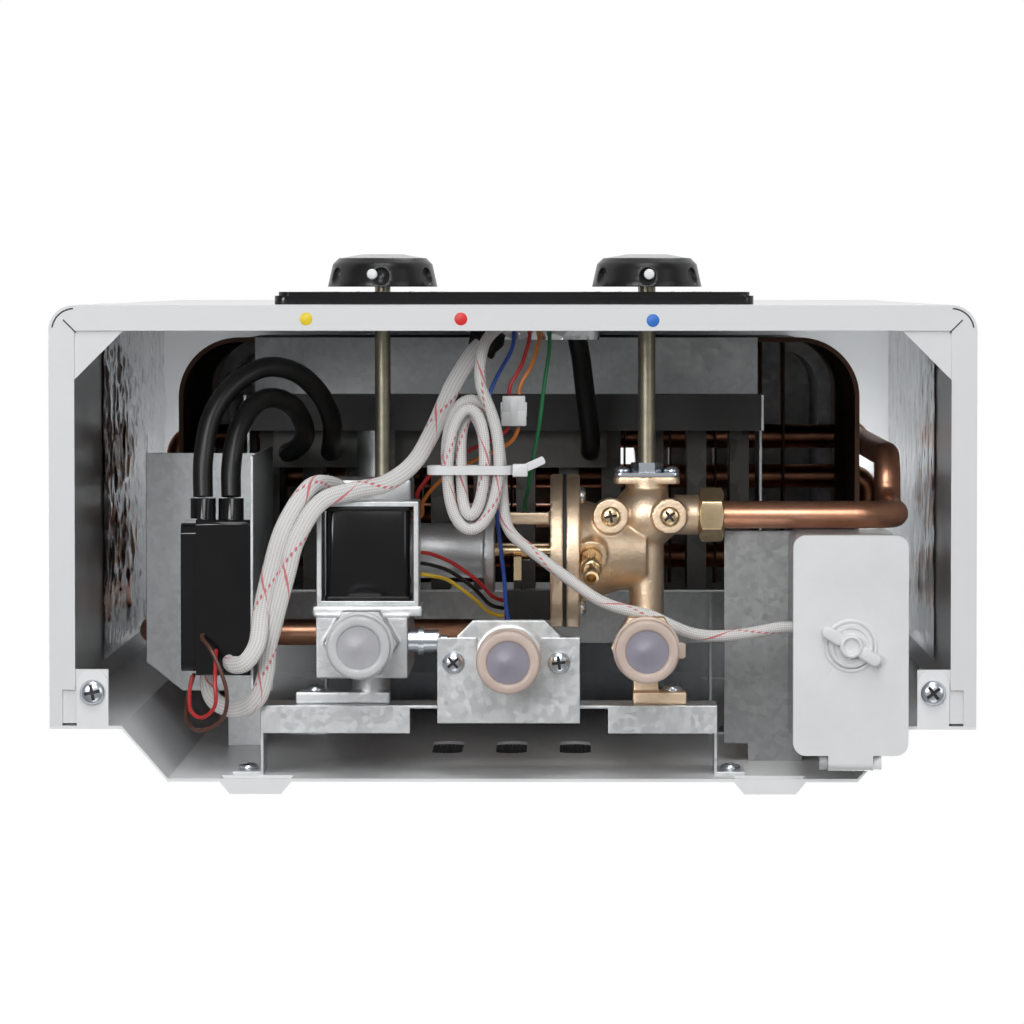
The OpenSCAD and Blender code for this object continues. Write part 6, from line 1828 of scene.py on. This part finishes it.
@dataclass
class Dressing:
    """Finishes and soft edges of the solids that stay as they are.

    Attributes:
        finishes: Finish of each solid.
        rounding: Width of the rounded edges of some solids.
    """

    finishes: dict[str, Finish] = field(
        default_factory=lambda: {
            "front_cover": Paint.WHITE,
            "back_panel": Paint.REAR,
            "control_fascia": Paint.GLOSS,
            "display_window": Paint.DISPLAY,
            "control_module": Paint.WRAP,
            "gas_knob": Paint.BLACK,
            "gas_knob_cap": Paint.GREY,
            "gas_spindle": Paint.ZINC,
            "water_knob": Paint.BLACK,
            "water_knob_cap": Paint.GREY,
            "water_spindle": Paint.ZINC,
            "valve_rail": Paint.GALV,
            "gas_test_nipple": Paint.PLATED,
            "solenoid_frame": Paint.GALV,
            "solenoid_plunger": Paint.PLATED,
            "gas_riser": Paint.GALV,
            "gas_manifold": Paint.BLACK_STEEL,
            "diaphragm": Paint.RUBBER,
            "push_rod": Paint.TURNED,
            "gland_plate": Paint.PLATED,
            "inlet_pipe": Paint.COPPER,
            "hot_pipe": Paint.COPPER,
            "hot_bracket": Paint.GALV,
            "microswitch": Paint.BLACK,
            "microswitch_lever": Paint.TURNED,
            "exchanger_shell": Paint.COPPER_DARK,
            "exchanger_fins": Paint.COPPER_DARK,
            "exchanger_tubes": Paint.COPPER,
            "flue_hood": Paint.GALV,
            "flue_collar": Paint.GALV,
            "burner_frame": Paint.GALV,
            "burner_blades": Paint.BURNER,
            "ignition_electrodes": Paint.FIRED_CLAY,
            "igniter": Paint.GLOSS,
            "igniter_bracket": Paint.GALV,
            "battery_box": Paint.CLEAR,
            "battery_lid": Paint.MILK,
            "battery_bracket": Paint.SHADED_ZINC,
        }
    )
    rounding: dict[str, float] = field(
        default_factory=lambda: {
            "front_cover": 0.35,
            "control_fascia": 0.5,
            "control_module": 0.8,
            "gas_knob": 0.5,
            "water_knob": 0.5,
            "valve_rail": 0.3,
            "solenoid_frame": 0.3,
            "hot_bracket": 0.3,
            "igniter": 2.0,
            "igniter_bracket": 0.3,
            "battery_box": 0.4,
            "battery_lid": 1.1,
            "battery_bracket": 0.3,
            "microswitch": 0.4,
            "burner_frame": 0.25,
            "gas_manifold": 0.3,
            "gland_plate": 0.2,
        }
    )

    def soften(self, node: str, width: float) -> None:
        """Rounds the sharp edges of a solid with modifiers.

        Args:
            node: Name of the solid.
            width: Width of the rounding.
        """
        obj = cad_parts[node]
        weld = obj.modifiers.new("weld", "WELD")
        weld.merge_threshold = 1e-6
        bevel = obj.modifiers.new("round", "BEVEL")
        bevel.width = width * MM
        bevel.segments = 2
        bevel.limit_method = "ANGLE"
        bevel.angle_limit = math.radians(42)
        bevel.harden_normals = True

    def build(self) -> None:
        """Dresses every solid that stays."""
        for node, finish in self.finishes.items():
            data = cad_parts[node].data
            data.materials.clear()
            data.materials.append(finish.material())
        for node, width in self.rounding.items():
            self.soften(node, width)


@dataclass
class Stage:
    """The camera under the heater, the pale floor and the soft light.

    Attributes:
        eye_m: Position of the camera.
        look: Direction of the camera.
        lens: Focal length.
        floor_z_m: Height of the floor.
        floor_half_m: Half the width of the floor.
        floor_white: Share of plain white in the floor, to the eye and in a reflection.
        sky: Strength of the light from all round.
        lamps: Position, aim, size and power of each lamp, in metres and watts.
    """

    eye_m: Point = (0.02422, -0.19891, -2.750)
    look: Point = (-63.0, 230.0, 5651.0)
    lens: float = 198.7
    floor_z_m: float = -7.0
    floor_half_m: float = 40.0
    floor_white: tuple[float, float] = (0.7, 0.15)
    sky: float = 0.2
    lamps: tuple[tuple[Point, Point, float, float], ...] = (
        ((0.0, -1.15, -2.75), (0.0, -0.1, -0.5), 1.0, 14.6),
        ((0.0, -2.0, -1.65), (0.0, -0.05, -0.55), 1.2, 16.2),
        ((-0.85, -0.55, -2.75), (0.1, -0.1, -0.4), 0.7, 13.5),
        ((1.6, -0.5, -2.1), (0.0, -0.1, -0.5), 1.2, 5.5),
        ((0.3, 1.6, -2.3), (0.0, -0.1, -0.5), 1.2, 4.5),
        ((0.6, -3.0, 0.9), (0.0, -0.1, -0.2), 1.6, 24.0),
        ((-2.7, 0.5, 0.6), (0.0, -0.1, -0.2), 1.6, 18.0),
        ((2.7, 0.9, 0.6), (0.0, -0.1, -0.2), 1.6, 18.0),
        ((0.2, 2.2, 2.0), (0.0, -0.1, -0.2), 1.6, 36.0),
        ((-0.162, -0.108, -0.08), (-0.162, -0.108, 0.04), 0.024, 0.034),
        ((0.162, -0.108, -0.08), (0.162, -0.108, 0.04), 0.024, 0.062),
    )

    def build_camera(self) -> None:
        """Builds the camera, with the room side at the top of its picture."""
        ahead = Vector(self.look).normalized()
        right = ahead.cross(TO_ROOM).normalized()
        up = right.cross(ahead)
        turned = Matrix((right, up, -ahead)).transposed().to_4x4()
        data = bpy.data.cameras.new("camera")
        data.lens = self.lens
        data.sensor_width = 36.0
        data.clip_end = 50.0
        camera = bpy.data.objects.new("camera", data)
        camera.matrix_world = Matrix.Translation(Vector(self.eye_m)) @ turned
        bpy.context.scene.collection.objects.link(camera)
        bpy.context.scene.camera = camera

    def floor_material(self) -> bpy.types.Material:
        """Makes the pale floor, mostly white to the eye, with the object's shadow left in it.

        Returns:
            The material.
        """
        pale = Finish("floor", (0.55, 0.55, 0.55), (0.53, 0.53, 0.53), rough=(0.6, 0.7), scale=2).material()
        tree = pale.node_tree
        shader, out = tree.nodes["Principled BSDF"], tree.nodes["Material Output"]
        glow = tree.nodes.new("ShaderNodeEmission")
        path = tree.nodes.new("ShaderNodeLightPath")
        total = tree.nodes.new("ShaderNodeMath")
        total.operation = "ADD"
        mix = tree.nodes.new("ShaderNodeMixShader")
        for index, (ray, weight) in enumerate(zip(("Is Camera Ray", "Is Glossy Ray"), self.floor_white)):
            share = tree.nodes.new("ShaderNodeMath")
            share.operation = "MULTIPLY"
            share.inputs[1].default_value = weight
            tree.links.new(path.outputs[ray], share.inputs[0])
            tree.links.new(share.outputs["Value"], total.inputs[index])
        tree.links.new(total.outputs["Value"], mix.inputs[0])
        tree.links.new(shader.outputs["BSDF"], mix.inputs[1])
        tree.links.new(glow.outputs["Emission"], mix.inputs[2])
        tree.links.new(mix.outputs["Shader"], out.inputs["Surface"])
        return pale

    def build_floor(self) -> None:
        """Builds the plain pale floor."""
        shaper = Shaper()
        bmesh.ops.create_grid(shaper.bm, x_segments=1, y_segments=1, size=self.floor_half_m)
        mesh = bpy.data.meshes.new("floor")
        shaper.bm.to_mesh(mesh)
        shaper.bm.free()
        mesh.materials.append(self.floor_material())
        floor = bpy.data.objects.new("floor", mesh)
        floor.location = (0, 0, self.floor_z_m)
        bpy.context.scene.collection.objects.link(floor)

    def build_lamps(self) -> None:
        """Builds the soft lamps: five below, four round the casing and two small ones under its top."""
        for number, (spot, aim, size, power) in enumerate(self.lamps):
            data = bpy.data.lights.new(f"lamp_{number}", "AREA")
            data.shape = "DISK"
            data.size = size
            data.energy = power
            lamp = bpy.data.objects.new(f"lamp_{number}", data)
            lamp.location = spot
            lamp.rotation_euler = (Vector(aim) - Vector(spot)).to_track_quat("-Z", "Y").to_euler()
            lamp.visible_camera = False
            bpy.context.scene.collection.objects.link(lamp)

    def build_sky(self) -> None:
        """Builds the white surround, full white to the eye and softer as a light."""
        world = bpy.data.worlds.new("surround")
        world.use_nodes = True
        tree = world.node_tree
        shade = tree.nodes["Background"]
        shade.inputs["Color"].default_value = (1, 1, 1, 1)
        path = tree.nodes.new("ShaderNodeLightPath")
        seen = tree.nodes.new("ShaderNodeMath")
        seen.operation = "MAXIMUM"
        clear = tree.nodes.new("ShaderNodeMath")
        clear.operation = "MAXIMUM"
        level = tree.nodes.new("ShaderNodeMapRange")
        level.inputs["To Min"].default_value = self.sky
        level.inputs["To Max"].default_value = 1.0
        tree.links.new(path.outputs["Is Camera Ray"], seen.inputs[0])
        tree.links.new(path.outputs["Is Glossy Ray"], seen.inputs[1])
        tree.links.new(seen.outputs["Value"], clear.inputs[0])
        tree.links.new(path.outputs["Is Transmission Ray"], clear.inputs[1])
        tree.links.new(clear.outputs["Value"], level.inputs["Value"])
        tree.links.new(level.outputs["Result"], shade.inputs["Strength"])
        bpy.context.scene.world = world

    def build(self) -> None:
        """Builds the stage."""
        self.build_camera()
        self.build_floor()
        self.build_lamps()
        self.build_sky()
        bpy.context.scene.view_settings.view_transform = "Standard"


def main() -> None:
    """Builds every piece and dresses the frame."""
    logging.basicConfig(level=logging.INFO)
    Dressing().build()
    Fasteners().build()
    WaterValve().build()
    Ports().build()
    Casing().build()
    Solenoid().build()
    BatteryLock().build()
    Ties().build()
    AirWays().build()
    Wiring().build()
    Stage().build()


if __name__ == "__main__":
    main()
